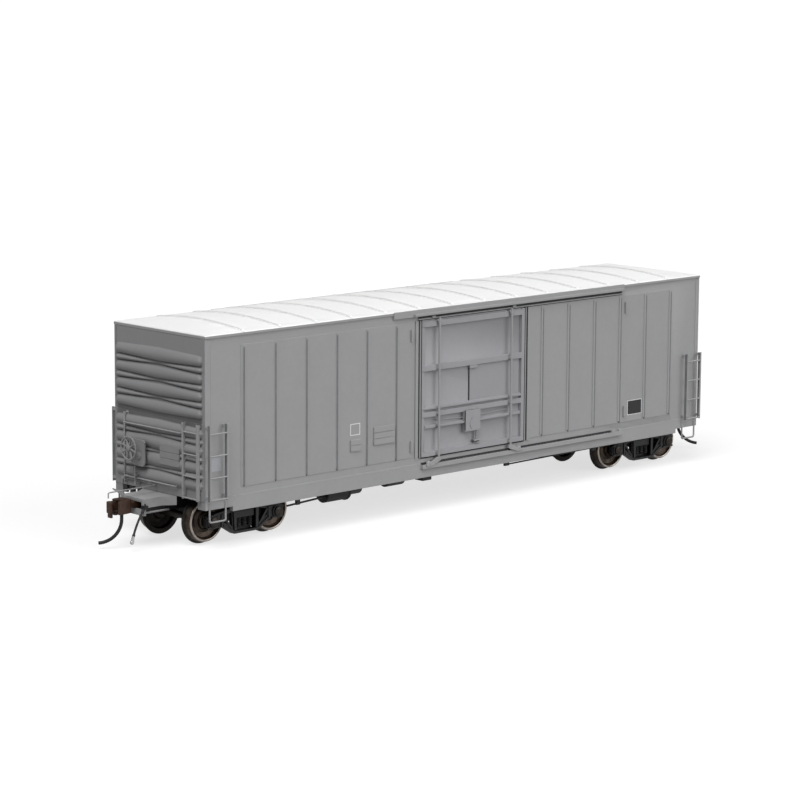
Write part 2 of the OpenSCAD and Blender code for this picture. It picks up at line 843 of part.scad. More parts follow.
module sideframe_outline() {
    a = wheelbase / 2;
    difference() {
        polygon([[-3.8, 2.15], [3.8, 2.15], [7.3, 4.3], [a + 1.9, 4.3], [a + 1.9, 7.5], [a - 1, 8],
            [window_half + 1, frame_top_z], [-window_half - 1, frame_top_z], [1 - a, 8], [-a - 1.9, 7.5],
            [-a - 1.9, 4.3], [-7.3, 4.3]]);
        polygon([[-window_half, window_z[0]], [window_half, window_z[0]], [window_half, window_z[1]],
            [-window_half, window_z[1]]]);
        for (s = [-1, 1])
            polygon([[s * (window_half + 1.1), 3.9], [s * 7, 5.8], [s * 7, 7.1],
                [s * (window_half + 1.1), 7.6]]);
    }
}

module sideframes() {
    difference() {
        for (y = [-frame_y - frame_t, frame_y])
            upright(y, frame_t) sideframe_outline();
        for (s = [-1, 1])
            translate([s * wheelbase / 2, 0, axle_z]) rotate([90, 0, 0])
                cylinder(r = journal_r + running_gap, h = 2 * axle_end + 2, center = true);
    }
}

// The bolster between the sideframes, with its ends and their springs in the sideframes' windows.
module bolster() {
    end_y = frame_y + frame_t - 0.5;
    spring_d = 1.5;
    difference() {
        union() {
            block([-bolster_half, -frame_y, 5.2], [bolster_half, frame_y, bolster_top_z]);
            for (s = [-1, 1]) {
                block([-window_half + 0.1, s > 0 ? frame_y - 0.5 : -end_y, 5.7],
                    [window_half - 0.1, s > 0 ? end_y : 0.5 - frame_y, window_z[1] - 0.1]);
                for (x = [-1.7, 0, 1.7])
                    translate([x, s * (frame_y + 0.5), window_z[0]])
                        cylinder(d = spring_d, h = 2.6, $fn = 24);
            }
        }
        translate([0, 0, 4]) cylinder(r = screw_r, h = 6);
    }
}

module brake_end_sideframes() { color(black) translate([-truck_x, 0, 0]) sideframes(); }
module plain_end_sideframes() { color(black) translate([truck_x, 0, 0]) sideframes(); }
module brake_end_bolster() { color(black) translate([-truck_x, 0, 0]) bolster(); }
module plain_end_bolster() { color(black) translate([truck_x, 0, 0]) bolster(); }

// Half a wheel's section, with its back at y = 0 and its face at y = wheel_w.
module wheel_section() {
    polygon([[axle_r, 0.2], [2, 0.2], [2.4, 0.9], [4.2, 0.9], [4.6, 0], [flange_r - 0.35, 0],
        [flange_r, 0.3], [flange_r - 0.15, 0.65], [tread_r + 0.1, 0.9], [tread_r - 0.1, wheel_w - 0.2],
        [tread_r - 0.3, wheel_w], [4.3, wheel_w], [4, wheel_w - 0.9], [2.3, wheel_w - 0.9],
        [2, wheel_w], [axle_r, wheel_w]]);
}

module wheel_pair(x) {
    color(brown) translate([x, 0, axle_z])
        for (s = [-1, 1])
            rotate([-90 * s, 0, 0]) translate([0, 0, back_to_back / 2])
                rotate_extrude($fn = 96) wheel_section();
}

module axle(x) {
    cap = 0.5;
    color(steel) translate([x, 0, axle_z]) rotate([90, 0, 0]) {
        cylinder(r = axle_r, h = back_to_back + 2 * wheel_w, center = true);
        cylinder(r = journal_r, h = 2 * axle_end, center = true);
        for (z = [axle_end, -axle_end - cap])
            translate([0, 0, z]) cylinder(r = cap_r, h = cap);
    }
}

module brake_end_outer_wheels() { wheel_pair(-truck_x - wheelbase / 2); }
module brake_end_inner_wheels() { wheel_pair(-truck_x + wheelbase / 2); }
module plain_end_inner_wheels() { wheel_pair(truck_x - wheelbase / 2); }
module plain_end_outer_wheels() { wheel_pair(truck_x + wheelbase / 2); }
module brake_end_outer_axle() { axle(-truck_x - wheelbase / 2); }
module brake_end_inner_axle() { axle(-truck_x + wheelbase / 2); }
module plain_end_inner_axle() { axle(truck_x - wheelbase / 2); }
module plain_end_outer_axle() { axle(truck_x + wheelbase / 2); }

right_side();
left_side();
brake_end_wall();
plain_end_wall();
roof();
floor();
center_sill();
body_bolsters();
crossbearers();
steel_weight();
right_door();
left_door();
right_door_gear();
left_door_gear();
right_door_tracks();
left_door_tracks();
side_ladders();
end_ladders();
end_grab_irons();
stirrup_steps();
brake_wheel();
brake_housing();
tack_boards();
side_boards();
strikers();
draft_boxes();
uncoupling_levers();
air_hoses();
glad_hands();
brake_cylinder();
air_reservoir();
brake_valve();
brake_rods();
truck_screws();
brake_end_sideframes();
plain_end_sideframes();
brake_end_bolster();
plain_end_bolster();
brake_end_outer_wheels();
brake_end_inner_wheels();
plain_end_inner_wheels();
plain_end_outer_wheels();
brake_end_outer_axle();
brake_end_inner_axle();
plain_end_inner_axle();
plain_end_outer_axle();
brake_end_coupler();
plain_end_coupler();
brake_end_knuckle();
plain_end_knuckle();
brake_end_trip_pin();
plain_end_trip_pin();
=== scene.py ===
import bpy
import bmesh
import json
import math
from mathutils import Matrix, Vector


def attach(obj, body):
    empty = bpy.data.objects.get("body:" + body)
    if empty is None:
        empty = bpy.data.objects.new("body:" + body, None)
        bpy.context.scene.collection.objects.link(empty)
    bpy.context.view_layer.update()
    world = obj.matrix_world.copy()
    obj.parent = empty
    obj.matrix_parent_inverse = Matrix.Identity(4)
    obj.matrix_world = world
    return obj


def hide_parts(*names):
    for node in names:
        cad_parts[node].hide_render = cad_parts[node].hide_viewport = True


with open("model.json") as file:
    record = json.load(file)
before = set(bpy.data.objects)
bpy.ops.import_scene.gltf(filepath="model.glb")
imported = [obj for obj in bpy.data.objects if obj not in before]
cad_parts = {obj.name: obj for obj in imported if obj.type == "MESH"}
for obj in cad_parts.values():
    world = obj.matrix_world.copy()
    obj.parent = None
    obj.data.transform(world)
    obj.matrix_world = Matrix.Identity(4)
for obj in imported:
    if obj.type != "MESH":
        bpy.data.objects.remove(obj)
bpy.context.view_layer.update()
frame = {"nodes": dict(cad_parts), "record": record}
nodes = frame["nodes"]
nodeSlots = {part["node"]: part["material_slot"] for part in frame["record"]["subparts"]}
mm = 0.001
print("frame loaded,", len(nodes), "nodes")

camera = {
    "place": (-0.54444, -0.56171, 0.15635),  # metres
    "yaw": 43.649,                           # degrees from +Y towards +X
    "pitch": 9.536,                          # degrees down
    "roll": 0.367,
    "lens": 137.13,
    "sensor": 36.0,
}


def addCamera(c):
    yaw, pitch, roll = (math.radians(c[k]) for k in ("yaw", "pitch", "roll"))
    ahead = Vector((math.sin(yaw) * math.cos(pitch), math.cos(yaw) * math.cos(pitch), -math.sin(pitch)))
    right = Vector((math.cos(yaw), -math.sin(yaw), 0))
    up = right.cross(ahead)
    across = math.cos(roll) * right + math.sin(roll) * up
    above = math.cos(roll) * up - math.sin(roll) * right
    data = bpy.data.cameras.new("camera")
    data.lens = c["lens"]
    data.sensor_width = c["sensor"]
    data.clip_start = 0.05
    obj = bpy.data.objects.new("camera", data)
    turn = Matrix((across, above, -ahead)).transposed().to_4x4()
    obj.matrix_world = Matrix.Translation(c["place"]) @ turn
    bpy.context.scene.collection.objects.link(obj)
    bpy.context.scene.camera = obj


addCamera(camera)
print("camera placed")


# a socket that Python sums can be written with
class Wire:
    def __init__(self, graph, socket):
        self.graph = graph
        self.socket = socket

    def calc(self, operation, other=None, swapped=False):
        pair = [self] if other is None else [other, self] if swapped else [self, other]
        return self.graph.add("ShaderNodeMath", {"operation": operation}, dict(enumerate(pair)))

    def __add__(self, other): return self.calc("ADD", other)
    def __radd__(self, other): return self.calc("ADD", other)
    def __sub__(self, other): return self.calc("SUBTRACT", other)
    def __rsub__(self, other): return self.calc("SUBTRACT", other, True)
    def __mul__(self, other): return self.calc("MULTIPLY", other)
    def __rmul__(self, other): return self.calc("MULTIPLY", other)
    def __truediv__(self, other): return self.calc("DIVIDE", other)
    def __gt__(self, other): return self.calc("GREATER_THAN", other)
    def __lt__(self, other): return self.calc("LESS_THAN", other)
    def __abs__(self): return self.calc("ABSOLUTE")

    def step(self, low, high):
        settings = {"interpolation_type": "SMOOTHSTEP"}
        return self.graph.add("ShaderNodeMapRange", settings, {"Value": self, "From Min": low, "From Max": high})


# a node tree with one way of adding nodes
class Graph:
    def __init__(self, tree):
        self.tree = tree

    def add(self, kind, settings=None, sockets=None, out=0):
        node = self.tree.nodes.new(kind)
        for key, value in (settings or {}).items():
            setattr(node, key, value)
        for key, value in (sockets or {}).items():
            if isinstance(value, Wire):
                self.tree.links.new(value.socket, node.inputs[key])
            elif value is not None:
                node.inputs[key].default_value = value
        return Wire(self, node.outputs[out])

    def mix(self, factor, first, second):
        node = {"data_type": "RGBA"}
        return self.add("ShaderNodeMix", node, {0: factor, 6: rgba(first), 7: rgba(second)}, 2)


def rgba(colour):
    return colour if isinstance(colour, Wire) or len(colour) == 4 else (*colour, 1)


# a new material with its shader ready to be fed
class Finish(Graph):
    def __init__(self, name):
        self.material = bpy.data.materials.new(name)
        self.material.use_nodes = True
        super().__init__(self.material.node_tree)
        self.shader = next(n for n in self.tree.nodes if n.type == "BSDF_PRINCIPLED")
        self.coords = self.add("ShaderNodeTexCoord", out="Object")

    def noise(self, size, detail=3.0, rough=0.55, stretch=None):
        place = self.coords
        if stretch:
            place = self.add("ShaderNodeVectorMath", {"operation": "MULTIPLY"}, {0: place, 1: stretch})
        return self.add("ShaderNodeTexNoise", None,
                        {"Vector": place, "Scale": 1 / (size * mm), "Detail": detail, "Roughness": rough})

    def axes(self):
        parts = self.tree.nodes.new("ShaderNodeSeparateXYZ")
        self.tree.links.new(self.coords.socket, parts.inputs[0])
        return [Wire(self, parts.outputs[i]) for i in range(3)]

    def bump(self, height, depth, strength=1.0):
        normal = self.add("ShaderNodeBump", None, {"Height": height, "Distance": depth * mm, "Strength": strength})
        self.tree.links.new(normal.socket, self.shader.inputs["Normal"])

    def feed(self, **values):
        names = {"colour": "Base Color", "rough": "Roughness", "metal": "Metallic", "specular": "Specular IOR Level"}
        for key, value in values.items():
            socket = self.shader.inputs[names[key]]
            if isinstance(value, Wire):
                self.tree.links.new(value.socket, socket)
            else:
                socket.default_value = rgba(value) if key == "colour" else value
        return self.material


paint = {
    "grey": (0.315, 0.315, 0.32),
    "doorGrey": (0.308, 0.306, 0.322),
    # the ends' grey: the body's grey darkened as painted shade, since the ends face away from the light
    "shadedEndGrey": (0.245, 0.245, 0.25),
    "white": (0.92, 0.92, 0.92),
    "dust": (0.42, 0.41, 0.39),
    "speckle": 0.025,      # how far the tone wanders
    "grain": 0.012,        # height of the paint's grain, mm
    "dustDepth": 0.06,     # how much dust lies low down
    "foldShadeDepth": 0.62,     # how dark the painted shade in the folds of the ends is
    "seamDepth": 0.85,     # how dark the painted shade beside the roof's seams is
    "seamPitch": 11.65,    # between two seams of the roof, mm
}


def paintTone(f, colour):
    tone = f.noise(9, 4) * 0.6 + f.noise(1.4, 2) * 0.4
    low = [c * (1 - paint["speckle"]) for c in colour]
    high = [c * (1 + paint["speckle"]) for c in colour]
    return f.mix(tone.step(0.3, 0.7), low, high)


def paintCoat(f, base):
    f.bump(f.noise(0.14, 2) * 0.7 + f.noise(0.5, 2) * 0.3, paint["grain"], 0.6)
    return f.feed(colour=base, rough=0.5 + f.noise(3, 3) * 0.12, specular=0.4)


# satin model paint, with a fine grain and a faint film of dust that settles low down
def satinPaint(name, colour):
    f = Finish(name)
    _, _, z = f.axes()
    film = (1 - z.step(9 * mm, 20 * mm)) * f.noise(2.5, 4).step(0.35, 0.75) * paint["dustDepth"]
    return paintCoat(f, f.mix(film, paintTone(f, colour), paint["dust"]))


# the end sheets, in a grey darkened as painted shade, with painted shade in the narrow folds between the pressed ribs
def shadedEndPaint(name, colour):
    f = Finish(name)
    x, y, z = f.axes()
    foldShade = (1 - abs(x).step(88.56 * mm, 88.95 * mm)) * (1 - z.step(46.0 * mm, 46.6 * mm))
    foldShade = foldShade * (1 - abs(y).step(15.6 * mm, 16.4 * mm)) * z.step(14.5 * mm, 16 * mm)
    return paintCoat(f, f.mix(foldShade * paint["foldShadeDepth"], paintTone(f, colour), (0.02, 0.02, 0.021)))


# the roof is white over its top, with painted shade beside its seams, and grey down its eaves
def roofPaint(name):
    f = Finish(name)
    tone = f.noise(14, 4).step(0.3, 0.7)
    top = f.mix(tone, [c * 0.975 for c in paint["white"]], paint["white"])
    x, _, z = f.axes()
    across = (x / (paint["seamPitch"] * mm)).calc("FRACT")
    seamShade = across.step(0.37, 0.42) * (1 - across.step(0.46, 0.49)) * (1 - abs(x).step(79 * mm, 79.5 * mm))
    top = f.mix(seamShade * paint["seamDepth"], top, (0.76, 0.76, 0.755))
    above = z.step(51.96 * mm, 52.04 * mm)
    base = f.mix(above, paint["grey"], top)
    f.bump(f.noise(0.16, 2), paint["grain"], 0.5)
    return f.feed(colour=base, rough=0.55 + f.noise(3, 3) * 0.1, specular=0.35)


def plastic(name, colour, rough, grain=0.01, spread=0.25):
    f = Finish(name)
    tone = f.noise(2.2, 4).step(0.3, 0.72)
    base = f.mix(tone, [c * (1 - spread) for c in colour], [c * (1 + spread) for c in colour])
    f.bump(f.noise(0.12, 2), grain, 0.7)
    return f.feed(colour=base, rough=rough + f.noise(1.6, 3) * 0.14, specular=0.4)


def metal(name, colour, rough, metallic, grain=0.008):
    f = Finish(name)
    tone = f.noise(1.5, 4).step(0.3, 0.7)
    base = f.mix(tone, [c * 0.8 for c in colour], [min(1, c * 1.15) for c in colour])
    f.bump(f.noise(0.1, 2), grain, 0.6)
    return f.feed(colour=base, rough=rough + f.noise(0.8, 3) * 0.12, metal=metallic)


# blackened wheels with a bronze tone over the outer face of the plate
def wheelFinish(name):
    f = Finish(name)
    tone = f.noise(1.2, 4).step(0.3, 0.7)
    dark = f.mix(tone, (0.012, 0.01, 0.009), (0.03, 0.025, 0.022))
    _, y, _ = f.axes()
    plate = abs(y).step(8.2 * mm, 8.5 * mm)
    base = f.mix(plate, dark, f.mix(tone, (0.035, 0.026, 0.02), (0.085, 0.062, 0.046)))
    f.bump(f.noise(0.5, 2, 0.5, (1, 8, 1)), 0.01, 0.5)
    return f.feed(colour=base, rough=0.3 + f.noise(0.7, 3) * 0.12, metal=0.7)


finishes = {
    "grey": satinPaint("satinGreyPaint", paint["grey"]),
    "door": satinPaint("doorGreyPaint", paint["doorGrey"]),
    "end": shadedEndPaint("endGreyPaint", paint["shadedEndGrey"]),
    "roof": roofPaint("whiteRoofPaint"),
    "black": plastic("satinBlackPlastic", (0.013, 0.013, 0.014), 0.42),
    "rubber": plastic("blackRubber", (0.016, 0.016, 0.017), 0.55),
    # near-black for real gaps and for painted shade: round the door and on the sill hardware under the ends
    "dark": plastic("darkGapPaint", (0.03, 0.03, 0.031), 0.6),
    "brown": metal("brownCastMetal", (0.042, 0.017, 0.008), 0.45, 0.1, 0.014),
    "wheel": wheelFinish("blackenedWheelMetal"),
    "steel": metal("turnedSteel", (0.42, 0.37, 0.33), 0.28, 0.95),
    "silver": metal("silverPaintedCasting", (0.55, 0.55, 0.55), 0.35, 0.7),
    "axle": metal("blackenedAxle", (0.03, 0.024, 0.02), 0.36, 0.6),
    "mark": plastic("whiteMarkingPaint", (0.72, 0.72, 0.72), 0.5, 0.004, 0.04),
    "paleMark": plastic("paleStencilPaint", (0.39, 0.405, 0.43), 0.5, 0.004, 0.05),
    # near-black grey for painted shade: the shadow beside each post and the shade on the side ladders' webs
    "seam": plastic("shadedSeamPaint", (0.17, 0.17, 0.173), 0.6, 0.004, 0.1),
    "plate": plastic("blackPlatePaint", (0.012, 0.012, 0.014), 0.45, 0.004, 0.1),
}
print(len(finishes), "finishes mixed")


# shapes are drawn in millimetres and scaled once, when the piece is closed
def box(bm, low, high):
    made = bmesh.ops.create_cube(bm, size=1)
    size = Vector(high) - Vector(low)
    middle = (Vector(high) + Vector(low)) / 2
    bmesh.ops.transform(bm, verts=made["verts"], matrix=Matrix.Translation(middle) @ Matrix.Diagonal((*size, 1)))
    return made["verts"]


def prism(bm, outline, low, high, put):
    # outline is a row of (a, b) points, and put(a, b, c) gives the place
    rings = [[bm.verts.new(put(a, b, c)) for a, b in outline] for c in (low, high)]
    bm.faces.new(rings[0])
    bm.faces.new(rings[1][::-1])
    for i in range(len(outline)):
        j = (i + 1) % len(outline)
        bm.faces.new((rings[0][j], rings[0][i], rings[1][i], rings[1][j]))


# a closed tube along a row of points, with mitred bends
def tube(bm, path, radius, sides=10):
    path = [Vector(p) for p in path]
    rings = []
    side = None
    for i, p in enumerate(path):
        before = (p - path[i - 1]).normalized() if i else None
        after = (path[i + 1] - p).normalized() if i + 1 < len(path) else None
        ahead = ((before or after) + (after or before)).normalized()
        if side is None:
            side = ahead.orthogonal().normalized()
        side = (side - side.dot(ahead) * ahead).normalized()
        other = ahead.cross(side)
        stretch = 1.0
        if before and after:
            stretch = 1 / max(0.5, before.dot(ahead))
        bend = (after - before).normalized() if before and after and (after - before).length > 1e-6 else None
        ring = []
        for k in range(sides):
            turn = 2 * math.pi * k / sides
            out = side * math.cos(turn) + other * math.sin(turn)
            if bend:
                out += bend * out.dot(bend) * (stretch - 1)
            ring.append(bm.verts.new(p + out * radius))
        rings.append(ring)
    for a, b in zip(rings, rings[1:]):
        for k in range(sides):
            m = (k + 1) % sides
            bm.faces.new((a[k], a[m], b[m], b[k]))
    bm.faces.new(rings[0][::-1])
    bm.faces.new(rings[-1])


# a round shape from a section of (radius, height) points, closed at both ends
def lathe(bm, section, sides, put):
    rings = []
    for radius, height in section:
        if radius < 1e-6:
            rings.append([bm.verts.new(put(0, 0, height))])
        else:
            turn = [2 * math.pi * k / sides for k in range(sides)]
            rings.append([bm.verts.new(put(radius * math.cos(t), radius * math.sin(t), height)) for t in turn])
    for a, b in zip(rings, rings[1:]):
        for k in range(sides):
            m = (k + 1) % sides
            corners = [a[k % len(a)], a[m % len(a)], b[m % len(b)], b[k % len(b)]]
            corners = [v for i, v in enumerate(corners) if v not in corners[:i]]
            if len(corners) > 2:
                bm.faces.new(corners)


def halfTurn(bm):
    # adds a copy of everything, turned half round
    copy = bmesh.ops.duplicate(bm, geom=bm.verts[:] + bm.edges[:] + bm.faces[:])
    verts = [g for g in copy["geom"] if isinstance(g, bmesh.types.BMVert)]
    bmesh.ops.rotate(bm, verts=verts, cent=(0, 0, 0), matrix=Matrix.Rotation(math.pi, 3, "Z"))


def soften(obj, width, angle):
    # rounds over the edges that turn by more than the angle
    bevel = obj.modifiers.new("softEdges", "BEVEL")
    bevel.width = width * mm
    bevel.segments = 2
    bevel.limit_method = "ANGLE"
    bevel.angle_limit = math.radians(angle)
    bevel.use_clamp_overlap = True
    bevel.miter_outer = "MITER_ARC"
    bevel.harden_normals = True


def applied(obj):
    # turns live modifiers into plain mesh
    bpy.context.view_layer.update()
    seen = obj.evaluated_get(bpy.context.evaluated_depsgraph_get())
    mesh = bpy.data.meshes.new_from_object(seen)
    obj.modifiers.clear()
    obj.data = mesh


def plainMesh(name, bm):
    mesh = bpy.data.meshes.new(name)
    bm.to_mesh(mesh)
    bm.free()
    return mesh


def scaledMesh(name, bm):
    # the shape in metres, with its faces turned outwards
    bmesh.ops.recalc_face_normals(bm, faces=bm.faces[:])
    bmesh.ops.scale(bm, verts=bm.verts[:], vec=(mm, mm, mm))
    return plainMesh(name, bm)


def addPiece(name, bm, body, finish, replaces=(), edge=0.0, angle=35, both=False):
    if both:
        halfTurn(bm)
    bmesh.ops.remove_doubles(bm, verts=bm.verts[:], dist=0.0005)
    return dressMesh(name, scaledMesh(name, bm), body, finish, replaces, edge, angle)


# a piece of the painted shell, by default with the same again half a turn round
def shellPiece(name, bm, finish, replaces=(), edge=0.0, angle=35, both=True):
    addPiece(name, bm, "car_body", finish, replaces, edge, angle, both)


def dressMesh(name, mesh, body, finish, replaces=(), edge=0.0, angle=35):
    mesh.shade_smooth()
    mesh.set_sharp_from_angle(angle=math.radians(angle))
    mesh.materials.clear()
    mesh.materials.append(finishes[finish])
    obj = bpy.data.objects.new(name, mesh)
    bpy.context.scene.collection.objects.link(obj)
    if edge:
        soften(obj, edge, angle)
        applied(obj)
    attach(obj, body)
    if replaces:
        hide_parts(*replaces)
    return obj


def bodyOf(node):
    groups = frame["record"]["behaviour"]["bodies"]
    return next(name for name, members in groups.items() if node in members)


# a CAD node's own shape with its edges rounded over
def roundedCopy(node, finish, edge, angle=35):
    bm = bmesh.new()
    bm.from_mesh(nodes[node].data)
    bmesh.ops.remove_doubles(bm, verts=bm.verts[:], dist=0.002 * mm)
    name = node + "_shape"
    dressMesh(name, plainMesh(name, bm), bodyOf(node), finish, (node,), edge, angle)


# a new geometry node group, the identifiers of its inputs and their values
def startTree(name, sockets):
    tree = bpy.data.node_groups.new(name, "GeometryNodeTree")
    inputs = {}
    tree.interface.new_socket("Geometry", in_out="INPUT", socket_type="NodeSocketGeometry")
    for title, kind in sockets.items():
        socket = tree.interface.new_socket(title, in_out="INPUT", socket_type="NodeSocket" + kind)
        inputs[title] = socket.identifier
    tree.interface.new_socket("Geometry", in_out="OUTPUT", socket_type="NodeSocketGeometry")
    g = Graph(tree)
    return g, inputs, {s.name: Wire(g, s) for s in tree.nodes.new("NodeGroupInput").outputs}


def endTree(g, geometry, finish):
    finished = g.add("GeometryNodeSetMaterial", None, {"Geometry": geometry, "Material": finish})
    output = g.tree.nodes.new("NodeGroupOutput")
    g.tree.links.new(finished.socket, output.inputs[0])


# rows of one shape: the modifier's own mesh is copied along two steps
def makeRepeatTree():
    g, inputs, value = startTree("repeatRows", {
        "First": "Vector", "Row step": "Vector", "Row count": "Int", "Column step": "Vector", "Column count": "Int",
        "Finish": "Material"})
    lineMode = {"mode": "OFFSET", "count_mode": "TOTAL"}
    row = g.add("GeometryNodeMeshLine", lineMode,
                {"Count": value["Row count"], "Start Location": value["First"], "Offset": value["Row step"]})
    column = g.add("GeometryNodeMeshLine", lineMode,
                   {"Count": value["Column count"], "Offset": value["Column step"]})
    inRow = g.add("GeometryNodeInstanceOnPoints", None, {"Points": row, "Instance": value["Geometry"]})
    inColumns = g.add("GeometryNodeInstanceOnPoints", None, {"Points": column, "Instance": inRow})
    real = g.add("GeometryNodeRealizeInstances", None, {"Geometry": inColumns})
    endTree(g, real, value["Finish"])
    return g.tree, inputs


repeatTree, repeatInputs = makeRepeatTree()


# one bmesh shape, in millimetres, repeated into a plain mesh
def repeated(bm, finish, first, rowStep, rowCount, columnStep=(0, 0, 0), columnCount=1):
    mesh = scaledMesh("one", bm)
    mesh.shade_smooth()
    obj = bpy.data.objects.new("one", mesh)
    bpy.context.scene.collection.objects.link(obj)
    modifier = obj.modifiers.new("rows", "NODES")
    modifier.node_group = repeatTree
    metres = lambda v: [c * mm for c in v]
    for name, value in (("First", metres(first)), ("Row step", metres(rowStep)), ("Row count", rowCount),
                        ("Column step", metres(columnStep)), ("Column count", columnCount),
                        ("Finish", finishes[finish])):
        modifier[repeatInputs[name]] = value
    applied(obj)
    mesh = obj.data
    bpy.data.objects.remove(obj)
    return mesh


# joins meshes, adds the same turned half round, and makes one piece
def joinedPiece(name, meshes, body, finish, both=True, angle=50, replaces=()):
    bm = bmesh.new()
    for mesh in meshes:
        bm.from_mesh(mesh)
    if both:
        halfTurn(bm)
    dressMesh(name, plainMesh(name, bm), body, finish, replaces, 0, angle)


body = {
    "halfLength": 88.5, "halfWidth": 16.95,
    "sideTop": 51.4, "eaveTop": 52.2, "eaveOut": 0.3,
    "postFirst": 26.1, "postPitch": 10.04, "postCount": 6,
    "panelLow": 14.6, "panelHigh": 49.1, "panelProud": 0.12,
    "sillTop": 12.85, "sillLow": 9.0, "footLow": 10.2, "footLength": 8.6,
    "truckAt": 71.8,     # from the middle of the car to the middle of a truck
}


def onSide(y):
    # a shape drawn in X and Z on the near side, standing out by c
    return lambda a, b, c: Vector((a, y - c, b))


def sideFace():
    return -body["halfWidth"]


for node in ("right_side", "left_side"):
    roundedCopy(node, "grey", 0, 15)
for node in ("right_door", "left_door"):
    roundedCopy(node, "door", 0.07)
for node in ("right_door_gear", "left_door_gear"):
    roundedCopy(node, "grey", 0.07)
roundedCopy("roof", "roof", 0.08, 25)
print("shell dressed")


# raised sheets between the posts, the sill strip and the corner angles
def addSidePanels():
    bm = bmesh.new()
    b = body
    y, proud = sideFace(), b["panelProud"]
    outer = b["postFirst"] + (b["postCount"] - 1) * b["postPitch"] + 1.0
    for low, high in ((-outer, -20.6), (20.6, outer)):
        box(bm, (low, y - proud, b["panelLow"]), (high, y + 0.3, b["panelHigh"]))
    reach, foot = b["halfLength"] - 0.6, b["halfLength"] - b["footLength"]
    sill = [(-reach, b["sillTop"]), (-reach, b["footLow"]), (-foot, b["footLow"]), (-foot, b["sillLow"]),
            (foot, b["sillLow"]), (foot, b["footLow"]), (reach, b["footLow"]), (reach, b["sillTop"])]
    prism(bm, sill, -0.3, 0.14, onSide(y))
    for s in (-1, 1):
        x = s * (b["halfLength"] - 0.75)
        box(bm, (x - 0.7, y - 0.12, b["footLow"]), (x + 0.7, y + 0.3, b["sideTop"] - 0.2))
    shellPiece("sidePanels", bm, "grey", edge=0.07)


# a dark strip down one edge of every post, painted as the shadow of the post's step
def addPostShadowLines():
    bm = bmesh.new()
    b = body
    y = sideFace()
    low, high = b["panelLow"], b["panelHigh"] - 0.5
    for first, pitch in ((-b["postFirst"] - 0.1, -b["postPitch"]), (b["postFirst"] + 0.4, b["postPitch"])):
        for k in range(b["postCount"]):
            x = first + k * pitch
            outline = [(x, low), (x + 0.2, low + 0.3), (x + 0.2, high - 0.4), (x, high), (x - 0.2, high - 0.4),
                       (x - 0.2, low + 0.3)]
            prism(bm, outline, -0.3, 0.37, onSide(y))
    shellPiece("postShadowLines", bm, "seam", edge=0.05)


addSidePanels()
addPostShadowLines()

rivets = {"radius": 0.13, "height": 0.09, "pitch": 0.62, "low": 15.3, "sides": 7}
rivets["widePitch"] = rivets["pitch"] * 2


def rivetHead():
    bm = bmesh.new()
    r, h = rivets["radius"], rivets["height"]
    section = ((0, 0), (r, 0), (r * 0.8, h * 0.65), (0, h))
    lathe(bm, section, rivets["sides"], lambda a, b, c: Vector((a, -c, b)))
    return bm


def addRivets():
    b, pitch, wide = body, rivets["pitch"], rivets["widePitch"]
    rows = int((b["panelHigh"] - 0.6 - rivets["low"]) / pitch)
    y = sideFace() - b["panelProud"]
    meshes = []
    for first in (-b["postFirst"] - (b["postCount"] - 1) * b["postPitch"], b["postFirst"]):
        meshes.append(repeated(rivetHead(), "grey", (first - 0.68, y, rivets["low"]),
                               (0, 0, pitch), rows, (b["postPitch"], 0, 0), b["postCount"]))
    tall = int((b["sideTop"] - b["sillTop"] - 1.4) / pitch)
    meshes.append(repeated(rivetHead(), "grey", (-b["halfLength"] + 1.9, sideFace(), b["sillTop"] + 0.7),
                           (0, 0, pitch), tall, (2 * b["halfLength"] - 3.8, 0, 0), 2))
    meshes.append(repeated(rivetHead(), "grey", (-b["halfLength"] + 0.75, sideFace() - 0.12, b["footLow"] + 0.8),
                           (0, 0, wide), int(tall / 2), (2 * b["halfLength"] - 1.5, 0, 0), 2))
    along = int((2 * b["halfLength"] - 6) / wide)
    meshes.append(repeated(rivetHead(), "grey", (-b["halfLength"] + 3, sideFace() - 0.14, b["sillTop"] - 0.45),
                           (wide, 0, 0), along))
    joinedPiece("sideRivets", meshes, "car_body", "grey")


addRivets()
print("sides panelled and riveted")

door = {
    "middle": 1.0, "half": 18.5, "low": 14.2, "high": 49.3, "rodX": 13.0,
    "bars": ((47.5, 49.0), (36.2, 37.7), (26.35, 26.8), (24.4, 25.7), (14.3, 15.5)),   # low and high edge of each
    "barProud": 0.45, "leafEdge": -0.25,
    "boxX": (-2.6, 2.7), "boxZ": (19.3, 24.8), "grip": 0.13, "hangerX": 14.5,
}


def addDoorBars():
    bm = bmesh.new()
    d = door
    y = sideFace()
    left, right = d["middle"] - d["half"], d["middle"] + d["half"]
    for low, high in d["bars"]:
        outline = [(left + 0.1, y + 0.2), (left + 0.2, y), (left + 1.5, y - d["barProud"]),
                   (right - 0.9, y - d["barProud"]), (right - 0.9, y + 0.2)]
        prism(bm, outline, low, high, lambda a, b, c: Vector((a, b, c)))
    box(bm, (right - 1.15, y - 0.4, d["low"] + 0.1), (right - 0.03, y + 0.5, d["high"] - 0.1))   # stile
    box(bm, (d["leafEdge"], y + 0.05, 26.7), (right - 1.7, y + 0.5, 36.3))                       # proud leaf
    box(bm, (-0.5, y - 0.4, 35.4), (2.3, y + 0.4, 36.4))                                         # block under a bar
    shellPiece("doorBars", bm, "door", edge=0.08)


